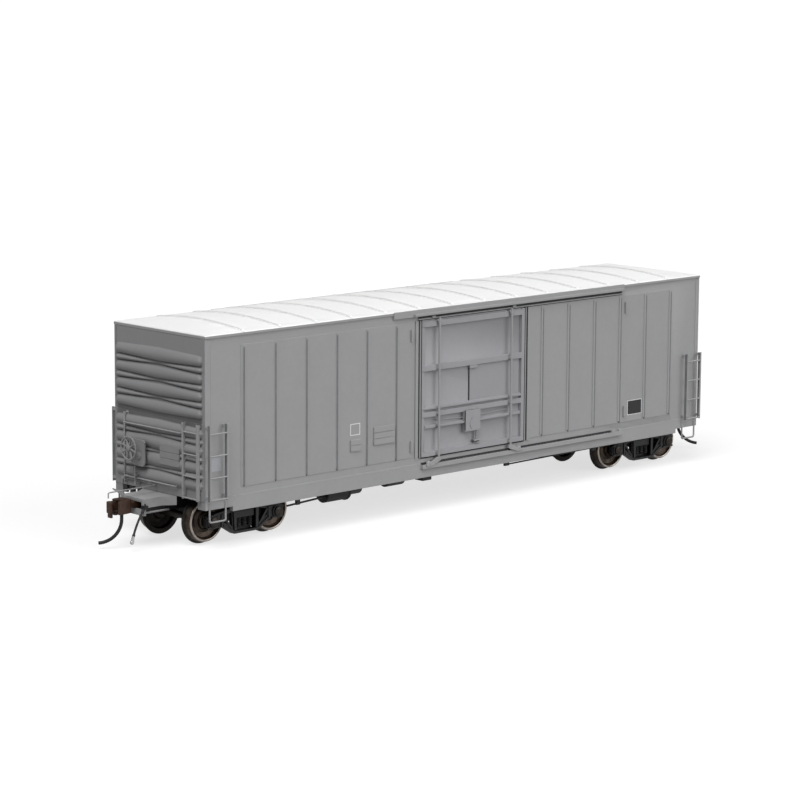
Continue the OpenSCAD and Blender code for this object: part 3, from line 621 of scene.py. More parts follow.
# levers that reach from the gear box to both rods, and the gear box's cover
def addDoorLevers():
    bm = bmesh.new()
    d = door
    y = sideFace()
    low, high = d["boxZ"]
    for s, near in ((-1, d["boxX"][0]), (1, d["boxX"][1])):
        far = d["middle"] + s * d["rodX"]
        prism(bm, [(near, 22.0), (far, 22.4), (far, 21.75), (near, 21.6)], -0.3, 0.8, onSide(y))
        prism(bm, [(near, 21.6), (far, 21.75), (far, 21.3), (near, 21.45)], -0.3, 0.35, onSide(y))
        prism(bm, [(near, 23.1), (far, 23.5), (far, 23.25), (near, 22.85)], -0.3, 0.1, onSide(y))
    cover = [(d["boxX"][0], low + 0.25), (d["boxX"][0], high), (d["boxX"][1], high), (d["boxX"][1], low + 0.1),
             (d["boxX"][0] + 0.5, low)]
    prism(bm, cover, 0.7, 1.15, onSide(y))
    grip = [(-0.3, 22.9), (-0.8, 22.3), (-1.05, 21.5), (-0.95, 20.6), (-0.4, 19.9)]
    tube(bm, [(a, y - 1.15, b) for a, b in grip], d["grip"], 8)
    tube(bm, [(1.9, y - 0.55, low + 0.1), (1.9, y - 0.55, 16.3)], 0.25)
    box(bm, (1.0, y - 0.8, 16.1), (2.8, y + 0.3, 16.5))
    shellPiece("doorLevers", bm, "door", edge=0.06)


# brackets with their rollers under the rods, and hangers in the slot over the door
def addDoorRollers():
    bm = bmesh.new()
    d = door
    y = sideFace()
    for s in (-1, 1):
        rod = d["middle"] + s * d["rodX"]
        arm = [(rod + s * u, z) for u, z in ((-0.7, 13.1), (-0.5, 13.9), (0.5, 13.95), (2.4, 13.1), (4.3, 12.5),
                                             (4.2, 11.9), (2.2, 12.0))]
        prism(bm, arm, 0.75, 1.2, onSide(y))
        for wheelX, r in ((rod + s * 3.4, 0.6), (rod + s * 0.9, 0.5)):
            section = ((0, 0), (r, 0), (r, 0.55), (r - 0.15, 0.7), (0.25, 0.7), (0.25, 0.85), (0, 0.85))
            lathe(bm, section, 18, lambda a, b, c: Vector((wheelX + a, y - 0.42 - c, 12.7 + b)))
        hanger = d["middle"] + s * d["hangerX"]
        box(bm, (hanger - 0.6, y - 0.5, 49.7), (hanger + 0.6, y + 0.3, 50.25))
        box(bm, (rod - 0.7, y - 0.95, d["high"] - 0.5), (rod + 0.7, y + 0.3, d["high"]))
    box(bm, (d["middle"] - d["half"] - 1.3, y - 0.25, 49.5), (57, y + 0.3, 49.82))
    shellPiece("doorRollers", bm, "grey", edge=0.05)


tracks = {
    "header": (-27.4, 57.5), "headerLow": 50.4, "rail": (-20.6, 56.8), "railZ": (50.55, 51.2),
    "lower": (-17.4, 57.2), "lowerZ": (11.3, 12.15), "lipTop": 12.4, "ends": (54.0, 56.6),
}


# the header plate with its rail, and the lower track on the sill
def addDoorTracks(t):
    bm = bmesh.new()
    y = sideFace()
    eave = y - body["eaveOut"]
    (left, right), low = t["header"], t["headerLow"]
    box(bm, (left, eave - 0.25, low), (right, eave, body["eaveTop"]))
    box(bm, (left, eave, low), (right, y + 0.1, body["sideTop"]))
    box(bm, (t["rail"][0], eave - 0.85, t["railZ"][0]), (t["rail"][1], eave - 0.2, t["railZ"][1]))
    (left, right), (low, high) = t["lower"], t["lowerZ"]
    box(bm, (left, y - 0.9, low), (right, y + 0.1, high))
    box(bm, (left, y - 0.9, high - 0.05), (right, y - 0.5, t["lipTop"]))
    for x in t["ends"]:
        box(bm, (x - 0.5, y - 0.75, high - 0.05), (x + 0.5, y + 0.1, 13.0))
    shellPiece("doorTracks", bm, "grey", ("right_door_tracks", "left_door_tracks"), edge=0.08)


stops = {"x": (-20.9, 58.6), "z": ((44.3, 47.3), (16.1, 19.0)), "wide": 0.9}


# stop brackets beside the door and at the far end of its track
def addDoorStops(s):
    bm = bmesh.new()
    y, half = sideFace(), s["wide"] / 2
    for x in s["x"]:
        for low, high in s["z"]:
            box(bm, (x - half, y - 0.65, low), (x + 0.05, y + 0.2, high))
            box(bm, (x + 0.15, y - 0.45, low + 0.3), (x + half, y + 0.2, high - 0.3))
    shellPiece("doorStops", bm, "grey", edge=0.05)


# dark strips in the gaps round the door, between its leaves and over both tracks, partly the gaps' own dark and
# partly painted shadow: in the grooves beside the door, under the header's lip and over the lower track
def addDoorGapShadows():
    bm = bmesh.new()
    d = door
    y = sideFace()
    left, right = d["middle"] - d["half"], d["middle"] + d["half"]
    for low, high, out in ((left - 0.05, left + 0.25, 0.03), (left - 1.2, left - 0.6, 0.03),
                           (right + 0.04, right + 0.34, 0.25), (right + 0.9, right + 1.23, 0.25)):
        box(bm, (low, y - out, d["low"]), (high, y + 0.6, d["high"] + 0.1))
    box(bm, (d["leafEdge"] - 0.16, y + 0.02, 26.8), (d["leafEdge"] + 0.05, y + 0.6, 36.2))
    box(bm, (left, y + 0.2, d["low"] - 0.3), (right, y + 0.6, d["low"] + 0.05))
    box(bm, (left - 1.2, y - 0.03, d["high"]), (57, y + 0.3, tracks["headerLow"] + 0.05))
    box(bm, (left, y - 0.2, tracks["lipTop"]), (53.4, y + 0.3, 12.9))
    shellPiece("doorGapShadows", bm, "dark")


addDoorBars()
addDoorLevers()
addDoorRollers()
addDoorTracks(tracks)
addDoorStops(stops)
addDoorGapShadows()
print("doors fitted out")


# a place on the end sheet: across, up and outwards
def onEnd(a, b, c):
    return Vector((-body["halfLength"] - c, a, b))


pressing = {
    "pitch": 4.2, "top": 45.9, "count": 8, "depth": 0.8, "dartDepth": 0.72,
    "halfHeight": 1.72, "edgeHeight": 1.3, "dartHeight": 0.78, "reach": 16.2, "round": 1.0,
    "jointZ": 31.0, "joint": 0.5,      # where the lower sheet begins, and how much lower its ribs are
    "lowerProud": 0.14, "sheet": 0.4,  # how far the lower sheet stands out, and how thick both are
    "low": 12.4, "high": 51.3, "across": 33.1, "columns": 84, "rows": 400,
}


def curve(share):
    # the height of a rounded rib: 1 along its middle and 0 at its foot
    return (1 - share * share).calc("MAXIMUM", 0).calc("POWER", 0.95)


# the pressed end: wide ribs that thin towards the corners, with darts between that thin towards the middle
def makePressedTree(p):
    g, inputs, value = startTree("pressedEnd", {
        "Rib pitch": "Float", "Top rib": "Float", "Rib count": "Float", "Rib depth": "Float", "Dart depth": "Float",
        "Finish": "Material"})
    tall = p["high"] - p["low"]
    grid = g.add("GeometryNodeMeshGrid", None, {"Size X": p["across"] * mm, "Size Y": tall * mm,
                                                "Vertices X": p["columns"], "Vertices Y": p["rows"]})
    split = g.tree.nodes.new("ShaderNodeSeparateXYZ")
    place = g.add("GeometryNodeInputPosition")
    g.tree.links.new(place.socket, split.inputs[0])
    y = Wire(g, split.outputs[0]) / mm
    z = Wire(g, split.outputs[1]) / mm + (p["low"] + p["high"]) / 2
    share = (abs(y) / p["reach"]).calc("MINIMUM", 1)                    # 0 in the middle, 1 at the corner
    pitch = value["Rib pitch"]
    lower = z < p["jointZ"]
    down = (value["Top rib"] - z - lower * p["joint"]) / pitch          # 0 at the top rib, 1 at the next
    fromRib = abs(down - down.calc("ROUND")) * pitch
    fromDart = pitch * 0.5 - fromRib
    corner = ((abs(y) - (p["reach"] - p["round"])) / p["round"]).calc("MAXIMUM", 0).calc("MINIMUM", 1)
    close = (1 - corner * corner).calc("SQRT")
    ribHalf = (p["halfHeight"] - (p["halfHeight"] - p["edgeHeight"]) * share) * close + 0.001
    dartHalf = (p["dartHeight"] * (0.32 + 0.68 * share)) * close + 0.001
    rib = curve(fromRib / ribHalf)
    dart = curve(fromDart / dartHalf) * share.step(-0.3, 0.8)
    inside = (down > -0.45) * (down < (value["Rib count"] - 0.55))
    middle = (p["count"] - 1) / 2                                       # no dart where the two sheets join
    darts = (down > 0.05) * (down < (value["Rib count"] - 1.05)) * (abs(down - middle) > 0.45)
    depth = (rib * value["Rib depth"] * inside + dart * value["Dart depth"] * darts) * close
    depth = depth + lower * p["lowerProud"]
    out = g.add("ShaderNodeCombineXYZ", None, {0: (depth + body["halfLength"]) * -mm, 1: y * mm, 2: z * mm})
    sheet = g.add("GeometryNodeSetPosition", None, {"Geometry": grid, "Position": out})
    thick = g.add("ShaderNodeCombineXYZ", None, {0: p["sheet"] * mm, 1: 0.0, 2: 0.0})
    back = g.add("GeometryNodeExtrudeMesh", {"mode": "FACES"}, {"Mesh": sheet, "Offset": thick, "Individual": False})
    front = g.add("GeometryNodeFlipFaces", None, {"Mesh": sheet})
    both = g.tree.nodes.new("GeometryNodeJoinGeometry")
    for part in (front, back, value["Geometry"]):
        g.tree.links.new(part.socket, both.inputs[0])
    merged = g.add("GeometryNodeMergeByDistance", None,
                   {"Geometry": Wire(g, both.outputs[0]), "Distance": 0.002 * mm})
    endTree(g, merged, value["Finish"])
    return g.tree, inputs


def addEnds():
    p, b = pressing, body
    tree, inputs = makePressedTree(p)
    bm = bmesh.new()
    x, w = -b["halfLength"], b["halfWidth"]
    foot, sheetLow, top = b["footLow"], p["low"], b["sideTop"]
    for low, high in (((x + 0.1, -w + 0.1, sheetLow), (x + 1.2, w - 0.1, top)),
                      ((x, -w, foot), (x + 1.2, -14.2, 12.6)), ((x, 14.2, foot), (x + 1.2, w, 12.6)),
                      ((x - 0.12, -w, sheetLow), (x + 1.2, -w + 0.7, top)),
                      ((x - 0.12, w - 0.7, sheetLow), (x + 1.2, w, top))):
        made = box(bm, low, high)
        edges = list({e for v in made for e in v.link_edges})
        bmesh.ops.bevel(bm, geom=edges, offset=0.06, segments=2, affect="EDGES")
    bmesh.ops.scale(bm, verts=bm.verts[:], vec=(mm, mm, mm))
    mesh = plainMesh("endFrame", bm)
    obj = bpy.data.objects.new("endFrame", mesh)
    bpy.context.scene.collection.objects.link(obj)
    modifier = obj.modifiers.new("pressing", "NODES")
    modifier.node_group = tree
    for name, value in (("Rib pitch", p["pitch"]), ("Top rib", p["top"]), ("Rib count", float(p["count"])),
                        ("Rib depth", p["depth"]), ("Dart depth", p["dartDepth"]), ("Finish", finishes["end"])):
        modifier[inputs[name]] = value
    applied(obj)
    pressed = obj.data
    bpy.data.objects.remove(obj)
    for name, turn, node in (("brakeEndPressing", 0, "brake_end_wall"), ("plainEndPressing", 180, "plain_end_wall")):
        copy = pressed.copy()
        copy.transform(Matrix.Rotation(math.radians(turn), 4, "Z"))
        dressMesh(name, copy, "car_body", "end", (node,), 0, 40)


addEnds()
print("ends pressed")

boards = {
    "gap": 0.13,
    "side": (((-34.0, 19.5), (-26.9, 24.0), (21.0, 22.5)), ((-41.84, 18.8), (-38.44, 21.7), (20.25,))),
    "tack": ((-8.5, 19.6), (-1.3, 24.6), (21.1, 22.7)),      # two corners, and the heights of the gaps
}


# boards made of planks with narrow gaps between them
def addBoards(b):
    bm = bmesh.new()
    y = sideFace()
    for (left, low), (right, high), splits in b["side"]:
        edges = [low, *splits, high]
        box(bm, (left + 0.1, y - 0.3, low + 0.1), (right - 0.1, y, high - 0.1))
        for i, (under, over) in enumerate(zip(edges, edges[1:])):
            box(bm, (left, y - 0.5, under + (b["gap"] if i else 0)), (right, y, over))
    shellPiece("sideBoards", bm, "grey", ("side_boards",), edge=0.05)
    bm = bmesh.new()
    x = -body["halfLength"]
    (left, low), (right, high), splits = b["tack"]
    edges = [low, *splits, high]
    for i, (under, over) in enumerate(zip(edges, edges[1:])):
        box(bm, (x - 1.0, left, under + (b["gap"] if i else 0)), (x - 0.4, right, over))
    box(bm, (x - 0.9, left + 0.1, low + 0.1), (x + 0.2, right - 0.1, high - 0.1))
    shellPiece("tackBoards", bm, "end", ("tack_boards",), edge=0.05)


addBoards(boards)

handBrake = {
    "wheelX": -92.5, "y": 6.95, "z": 22.6, "radius": 2.8, "rim": 0.25, "spokes": 8, "spoke": 0.24,
    "bossAt": (5.6, 20.7), "rodY": 7.2, "rod": 0.2,
}


def addHandBrake(h):
    bm = bmesh.new()
    put = lambda a, b, c: Vector((h["wheelX"] + c, h["y"] + a, h["z"] + b))
    ring = [(h["radius"] + h["rim"] * math.cos(t), h["rim"] * 0.8 * math.sin(t)) for t in
            [2 * math.pi * k / 10 for k in range(11)]]
    lathe(bm, ring, 48, put)
    lathe(bm, ((0, -0.35), (0.55, -0.35), (0.8, -0.15), (0.8, 0.3), (0.45, 0.5), (0.45, 1.9), (0, 1.9)), 20, put)
    for k in range(h["spokes"]):
        turn = 2 * math.pi * k / h["spokes"] + 0.3
        a, b = math.cos(turn), math.sin(turn)
        tube(bm, [put(0.5 * a, 0.5 * b, 0.15), put(1.6 * a, 1.6 * b, 0.25), put(2.4 * a, 2.4 * b, 0.1),
                  put(h["radius"] * a, h["radius"] * b, 0)], h["spoke"], 8)
    shellPiece("handBrakeWheel", bm, "end", ("brake_wheel",), angle=45, both=False)
    bm = bmesh.new()
    x = -body["halfLength"]
    outline = [(3.2, 18.9), (3.2, 24.2), (3.7, 24.7), (8.4, 24.7), (8.9, 24.2), (8.9, 20.0), (7.6, 18.2), (3.9, 18.2)]
    prism(bm, outline, 1.65, 2.05, onEnd)
    inner = [(5.0, 19.2), (5.0, 24.0), (8.4, 24.0), (8.4, 20.3), (7.3, 18.9), (5.4, 18.9)]
    prism(bm, inner, 0, 1.8, onEnd)
    bossY, bossZ = h["bossAt"]
    boss = ((0, 1.9), (1.1, 1.9), (1.0, 2.35), (0.5, 2.6), (0, 2.6))
    lathe(bm, boss, 20, lambda a, b, c: onEnd(bossY + a, bossZ + b, c))
    rodY = h["rodY"]
    tube(bm, [(x - 1.75, rodY, 18.8), (x - 1.75, rodY, 13.4)], h["rod"])
    box(bm, (x - 1.95, rodY - 0.3, 13.2), (x, rodY + 0.3, 13.8))
    box(bm, (x - 1.9, rodY - 0.45, 15.6), (x, rodY + 0.45, 15.95))
    shellPiece("handBrakeHousing", bm, "end", ("brake_housing",), edge=0.12, both=False)


addHandBrake(handBrake)
print("end fittings made")

ladder = {
    "out": 1.8, "endOut": 1.4,      # how far they stand off a side and an end
    "width": 5.3, "low": 12.8, "count": 4, "pitch": 5.3, "rung": 0.19,
    "stile": 0.46, "thick": 0.3, "rivet": 0.12, "webDepth": 0.85,
}


# one ladder with its stiles, feet and webs; the webs may go into a mesh of their own
def ladderShape(l, out, put, webs=None):
    bm = bmesh.new()
    low, top = l["low"], l["low"] + (l["count"] - 1) * l["pitch"] + 2.2
    half, front = l["stile"] / 2, out - l["rivet"]
    head = ((0, 0), (0.2, 0), (0.15, 0.1), (0, l["rivet"]))
    for u in (0, l["width"]):
        outline = [(u - half, low - 0.4), (u + half, low - 0.4), (u + half, top), (u - half, top)]
        prism(bm, outline, out - l["thick"], front, put)
        web = [(u - 0.4, low - 0.3), (u - 0.15, low - 0.3), (u - 0.15, top - 0.1), (u - 0.4, top - 0.1)]
        prism(bm if webs is None else webs, web, out - l["webDepth"], out - 0.14, put)
        for z in (low + 0.6, top - 0.6):
            foot = [(u - half, z - 0.3), (u + half, z - 0.3), (u + half, z + 0.3), (u - half, z + 0.3)]
            prism(bm, foot, 0, out - 0.2, put)
            lathe(bm, head, 8, lambda a, b, c: put(u + a, z + b, front + c))
    return bm


def addLadders(l):
    b = body
    x = b["halfLength"] - 0.5 - l["width"]
    sides = []
    webs = bmesh.new()
    for first in (-x - l["width"], x):
        put = lambda a, c, d: Vector((first + a, sideFace() - d, c))
        sides.append((ladderShape(l, l["out"], put, webs), (first, sideFace() - l["out"] + 0.22, l["low"])))
    yEnd = -(b["halfWidth"] - 1.55)
    putEnd = lambda a, c, d: Vector((-b["halfLength"] - d, yEnd + a, c))
    ends = [(ladderShape(l, l["endOut"], putEnd), (-b["halfLength"] - l["endOut"] + 0.22, yEnd, l["low"]))]
    # the side ladders' webs are painted dark: painted shade
    shellPiece("ladderWebs", webs, "seam")
    for name, shapes, node, along in (("sideLadders", sides, "side_ladders", (l["width"], 0, 0)),
                                      ("endLadders", ends, "end_ladders", (0, l["width"], 0))):
        meshes = []
        for bm, first in shapes:
            meshes.append(scaledMesh(name, bm))
            rung = bmesh.new()
            tube(rung, [(0, 0, 0), along], l["rung"], 10)
            meshes.append(repeated(rung, "grey", first, (0, 0, l["pitch"]), l["count"]))
        joinedPiece(name, meshes, "car_body", "grey", True, 40, (node,))


addLadders(ladder)

irons = {
    "radius": 0.2, "out": 1.18, "upY": 12.0, "low": 13.4, "high": 30.4,
    "across": ((12.0, -9.4, 28.1), (11.8, -7.3, 14.9)),      # from Y, to Y, and height
    "stirrup": 0.23, "lever": 0.17, "leverZ": 14.1,
}


# grab irons on the ends, stirrups under the corners and the levers that lift the coupler pins
def addIrons(i):
    bm = bmesh.new()
    x, out, r = -body["halfLength"], i["out"], i["radius"]
    y, low, high = i["upY"], i["low"], i["high"]
    tube(bm, [(x, y, low), (x - out, y, low), (x - out, y, high), (x, y, high)], r)
    for first, last, z in i["across"]:
        tube(bm, [(x, first, z), (x - out, first, z), (x - out, last, z), (x, last, z)], r)
    for y, z in ((y, low), (y, high), i["across"][0][1:], i["across"][1][1:]):
        box(bm, (x - 0.15, y - 0.42, z - 0.42), (x + 0.1, y + 0.42, z + 0.42))
    shellPiece("endGrabIrons", bm, "grey", ("end_grab_irons",), angle=50)
    bm = bmesh.new()
    y = sideFace() - 0.25
    for s in (-1, 1):
        near, far = s * (body["halfLength"] - 1.2), s * (body["halfLength"] - 6.2)
        tube(bm, [(near, y, 12.0), (near, y, 7.55), (near + (far - near) * 0.07, y, 7.2),
                  (far - (far - near) * 0.07, y, 7.2), (far, y, 7.55), (far, y, 12.0)], i["stirrup"])
        for x in (near, far):
            box(bm, (x - 0.35, y - 0.05, 10.5), (x + 0.35, y + 0.3, 12.1))
    shellPiece("stirrupSteps", bm, "grey", ("stirrup_steps",), angle=50)
    bm = bmesh.new()
    x, z = -body["halfLength"], i["leverZ"]
    tube(bm, [(x - 0.5, 13.8, 12.7), (x - 0.5, 13.8, z), (x - 0.5, 0.9, z), (x - 1.0, 0.4, z),
              (x - 15.0, 0.4, z), (x - 15.4, 0.4, z - 0.2), (x - 15.4, 0.4, 12.76)], i["lever"], 8)
    for y in (3.5, 13.3):
        box(bm, (x - 0.68, y - 0.3, z - 0.3), (x + 0.1, y + 0.3, z + 0.3))
    bracket = [(3.3, 12.0), (3.3, 12.9), (7.6, 13.25), (7.2, 12.95)]
    prism(bm, bracket, 8.2, 8.6, onEnd)
    shellPiece("uncouplingLevers", bm, "grey", ("uncoupling_levers",), angle=50)


endSill = {
    "blocks": ((7.0, 3.6, 10.6, 12.1), (10.9, 1.3, 10.4, 12.45), (14.0, 2.6, 10.4, 12.45)),  # Y, width, low, high
}


# the sill hardware under the end sheet, painted dark as the shade it stands in, with gaps that show light
def addEndSill():
    bm = bmesh.new()
    x = -body["halfLength"]
    for y, wide, low, high in endSill["blocks"]:
        box(bm, (x + 0.1, y - wide / 2, low), (x + 0.7, y + wide / 2, high))
    shellPiece("endSillBlocks", bm, "dark")


addIrons(irons)
addEndSill()
print("ladders and irons made")

wheel = {"axle": 1.0, "tread": 5.25, "flange": 5.89, "width": 2.8, "backs": 14.4, "sides": 72, "axleZ": 5.89,
         "halfBase": 10.3, "axleHalf": 12.7, "boltsAt": 0.75}


# a wheel pair with a turned rim, a dished plate and a raised hub
def addWheels(w):
    t, f, d = w["tread"], w["flange"], w["width"]
    section = ((w["axle"], 0.1), (1.9, 0.1), (2.3, 0.75), (3.1, 1.05), (4.2, 0.85), (4.6, 0.02), (f - 0.4, 0.0),
               (f - 0.12, 0.1), (f, 0.3), (f - 0.06, 0.5), (f - 0.28, 0.68), (t + 0.12, 0.8), (t + 0.02, 1.0),
               (t - 0.1, d - 0.25), (t - 0.2, d - 0.06), (t - 0.3, d), (4.75, d), (4.6, d - 0.1), (4.45, d - 0.75),
               (4.1, d - 1.05), (3.0, d - 1.2), (2.3, d - 0.85), (2.05, d - 0.15), (1.9, d - 0.02), (w["axle"], d))
    for end, s in (("brake_end", -1), ("plain_end", 1)):
        for which, k in (("outer", 1), ("inner", -1)):
            x = s * body["truckAt"] + s * k * w["halfBase"]
            bm = bmesh.new()
            for side in (-1, 1):
                lathe(bm, section + (section[0],), w["sides"],
                      lambda a, b, c: Vector((x + a, side * (w["backs"] / 2 + c), w["axleZ"] + b)))
            name = f"{end}_{which}"
            obj = addPiece(name + "_wheelPair", bm, name + "_wheelset", "wheel",
                           (name + "_wheels",), angle=28)
            obj.data.materials.append(finishes["steel"])
            for face in obj.data.polygons:
                middle = face.center / mm
                radius = math.hypot(middle.x - x, middle.z - w["axleZ"])
                depth = abs(middle.y) - w["backs"] / 2
                if depth > d - 0.3 and radius > 4.55:
                    face.material_index = 1
            bm = bmesh.new()
            half = w["axleHalf"]
            put = lambda a, b, c: Vector((x + a, c, w["axleZ"] + b))
            shaft = ((0, -half), (0.8, -half), (0.8, -10.2), (1.0, -9.9), (1.0, -7.0), (0.85, -5.5), (0.85, 5.5),
                     (1.0, 7.0), (1.0, 9.9), (0.8, 10.2), (0.8, half), (0, half))
            lathe(bm, shaft, 24, put)
            for side in (-1, 1):
                cap = ((0, half), (1.25, half), (1.3, half + 0.12), (1.3, half + 0.3), (1.05, half + 0.45),
                       (0.5, half + 0.5), (0, half + 0.5))
                lathe(bm, cap, 24, lambda a, b, c: put(a, b, side * c))
                for bolt in range(3):
                    turn = 2 * math.pi * bolt / 3 + 0.5
                    u, v = w["boltsAt"] * math.cos(turn), w["boltsAt"] * math.sin(turn)
                    lathe(bm, ((0, 0.38), (0.2, 0.38), (0.2, 0.56), (0, 0.6)), 6,
                          lambda a, b, c: put(u + a, v + b, side * (half + c)))
            addPiece(name + "_axleShaft", bm, name + "_wheelset", "axle", (name + "_axle",), angle=30)


addWheels(wheel)

truck = {
    "half": wheel["halfBase"], "inner": 10.7, "thick": 1.9,
    "web": (0.35, 1.5),      # how deep the plate between the chords lies
}
spring = {"radius": 0.62, "pitch": 0.45, "wire": 0.15, "turns": 5, "steps": 12, "apart": 1.75, "y": 11.5, "low": 3.45}


# the plate between the chords, in pieces that leave the windows open
def frameWeb(bm, t, put):
    h = t["half"]
    for q in (-1, 1):
        for outline in (((3.05, 2.6), (4.2, 3.0), (4.4, 8.3), (3.05, 8.3)),
                        ((4.3, 7.5), (7.3, 6.9), (7.3, 8.0), (4.3, 8.5)),
                        ((4.0, 2.7), (7.4, 4.6), (7.4, 5.7), (4.0, 3.9)),
                        ((7.0, 4.35), (h - 1.2, 4.35), (h - 1.2, 7.6), (7.0, 7.7)),
                        ((h + 1.1, 4.35), (h + 1.9, 4.35), (h + 1.9, 7.2), (h + 1.1, 7.3)),
                        ((h - 1.6, 7.0), (h + 1.8, 6.9), (h + 1.8, 7.25), (h - 1.6, 7.75))):
            prism(bm, [(q * a, b) for a, b in outline], *t["web"], put)


def springCoil(s):
    bm = bmesh.new()
    path = []
    for k in range(s["steps"] * s["turns"] + 1):
        turn = 2 * math.pi * k / s["steps"]
        path.append((s["radius"] * math.cos(turn), s["radius"] * math.sin(turn), k * s["pitch"] / s["steps"]))
    tube(bm, path, s["wire"], 6)
    return bm


# cast sideframes with their ribs, pedestals and spring groups
def addTrucks(t, coil):
    h, thick = t["half"], t["thick"]
    lower = [(-3.8, 2.15), (3.8, 2.15), (7.3, 4.3), (7.0, 4.85), (3.6, 2.75), (-3.6, 2.75), (-7.0, 4.85), (-7.3, 4.3)]
    upper = [(-h - 1.9, 7.3), (1 - h, 8), (-4.0, 8.8), (4.0, 8.8), (h - 1, 8), (h + 1.9, 7.3), (h + 1.9, 6.8),
             (h - 1, 7.4), (3.9, 8.15), (-3.9, 8.15), (1 - h, 7.4), (-h - 1.9, 6.8)]
    bearing = ((0.85, 0), (1.75, 0), (1.75, 1.75), (1.55, 1.95), (0.85, 1.95), (0.85, 0))
    for end, s in (("brake_end", -1), ("plain_end", 1)):
        cx = s * body["truckAt"]
        bm = bmesh.new()
        for side in (-1, 1):
            put = lambda a, b, c: Vector((cx + a, side * (t["inner"] + c), b))
            frameWeb(bm, t, put)
            for outline in (lower, upper):
                prism(bm, outline, 0, thick, put)
            for q in (-1, 1):
                prism(bm, [(q * 3.05, 2.9), (q * 3.75, 2.9), (q * 4.1, 8.3), (q * 3.05, 8.3)], 0, thick, put)
                prism(bm, [(q * 7.2, 4.3), (q * 7.8, 4.3), (q * 7.8, 7.5), (q * 7.2, 7.6)], 0.1, thick - 0.1, put)
                prism(bm, [(q * 3.9, 3.3), (q * 4.4, 3.1), (q * 7.4, 6.9), (q * 6.9, 7.3)], 0.2, thick - 0.25, put)
                lathe(bm, bearing, 28, lambda a, b, c: put(q * h + a, wheel["axleZ"] + b, c))
                prism(bm, [(q * (h - 2.0), 4.3), (q * (h + 1.9), 4.3), (q * (h + 1.9), 4.75), (q * (h - 2.0), 4.75)],
                      0, thick, put)
        addPiece(end + "_castSideframes", bm, end + "_truck_body", "black",
                 (end + "_sideframes",), edge=0.09, angle=40)
        bm = bmesh.new()
        box(bm, (cx - 1.9, -10.6, 5.2), (cx + 1.9, 10.6, 8.6))
        for side in (-1, 1):
            for wide, near, far, low, high in ((2.9, 10.2, 12.1, 5.8, 7.6), (3.0, 10.3, 10.8, 2.5, 6.0)):
                right, left = sorted((side * near, side * far))
                box(bm, (cx - wide, right, low), (cx + wide, left, high))
        addPiece(end + "_castBolster", bm, end + "_truck_body", "black",
                 (end + "_bolster",), edge=0.12)
        meshes = [repeated(springCoil(coil), "rubber", (cx - coil["apart"], side * coil["y"], coil["low"]),
                           (coil["apart"], 0, 0), 3) for side in (-1, 1)]
        joinedPiece(end + "_truckSprings", meshes, end + "_truck_body", "black", False, 50)


addTrucks(truck, spring)
print("trucks and wheels made")

# outlines seen from above, those of the knuckle about its own pin, each with the heights it spans
coupler = {
    "pivotX": 87.5, "z": 10.56, "half": 1.6, "knuckleAt": (-13.5, 1.4), "knuckleHalf": 1.05,
    "shankHalf": 0.72, "noseSpan": (-1.5, 1.15), "lugSpan": (-2.65, -1.4),
    "pinTop": -1.9, "pinBend": 6.0, "pinLean": 46, "pinWire": 0.425,
    "shank": [(-11.6, -1.2), (-3.0, -1.2), (-1.5, -1.85), (0.6, -1.85), (1.6, -1.0), (1.6, 1.0), (0.6, 1.85),
              (-1.5, 1.85), (-3.0, 1.2), (-11.6, 1.2)],
    "head": [(-10.8, -1.25), (-10.8, 1.25), (-11.3, 2.1), (-12.5, 2.1), (-12.5, -1.3), (-14.2, -1.5),
             (-15.4, -1.95), (-15.6, -2.4), (-15.2, -2.7), (-13.6, -2.65), (-12.2, -2.45), (-11.3, -2.0)],
    "cheek": [(-12.3, -0.7), (-12.3, 2.1), (-13.4, 2.25), (-14.15, 1.9), (-14.25, 1.1), (-13.6, 0.6),
              (-13.3, -0.7)],
    "jaw": [(0.55, 0.5), (0.1, 0.8), (-1.4, 0.8), (-1.7, 0.3), (-1.5, -0.35), (-0.7, -0.35), (0.3, -0.6),
            (0.7, -0.2)],
    "nose": [(-1.2, 0.8), (-2.2, 0.65), (-2.7, 0), (-2.75, -1.4), (-2.5, -1.75), (-2.0, -1.75), (-1.75, -1.3),
             (-1.5, -0.3)],
    "lug": [(-1.75, 0.3), (-2.2, 0.25), (-2.5, -0.2), (-2.55, -1.2), (-2.35, -1.5), (-2.0, -1.5), (-1.8, -1.2),
            (-1.65, -0.2)],
}


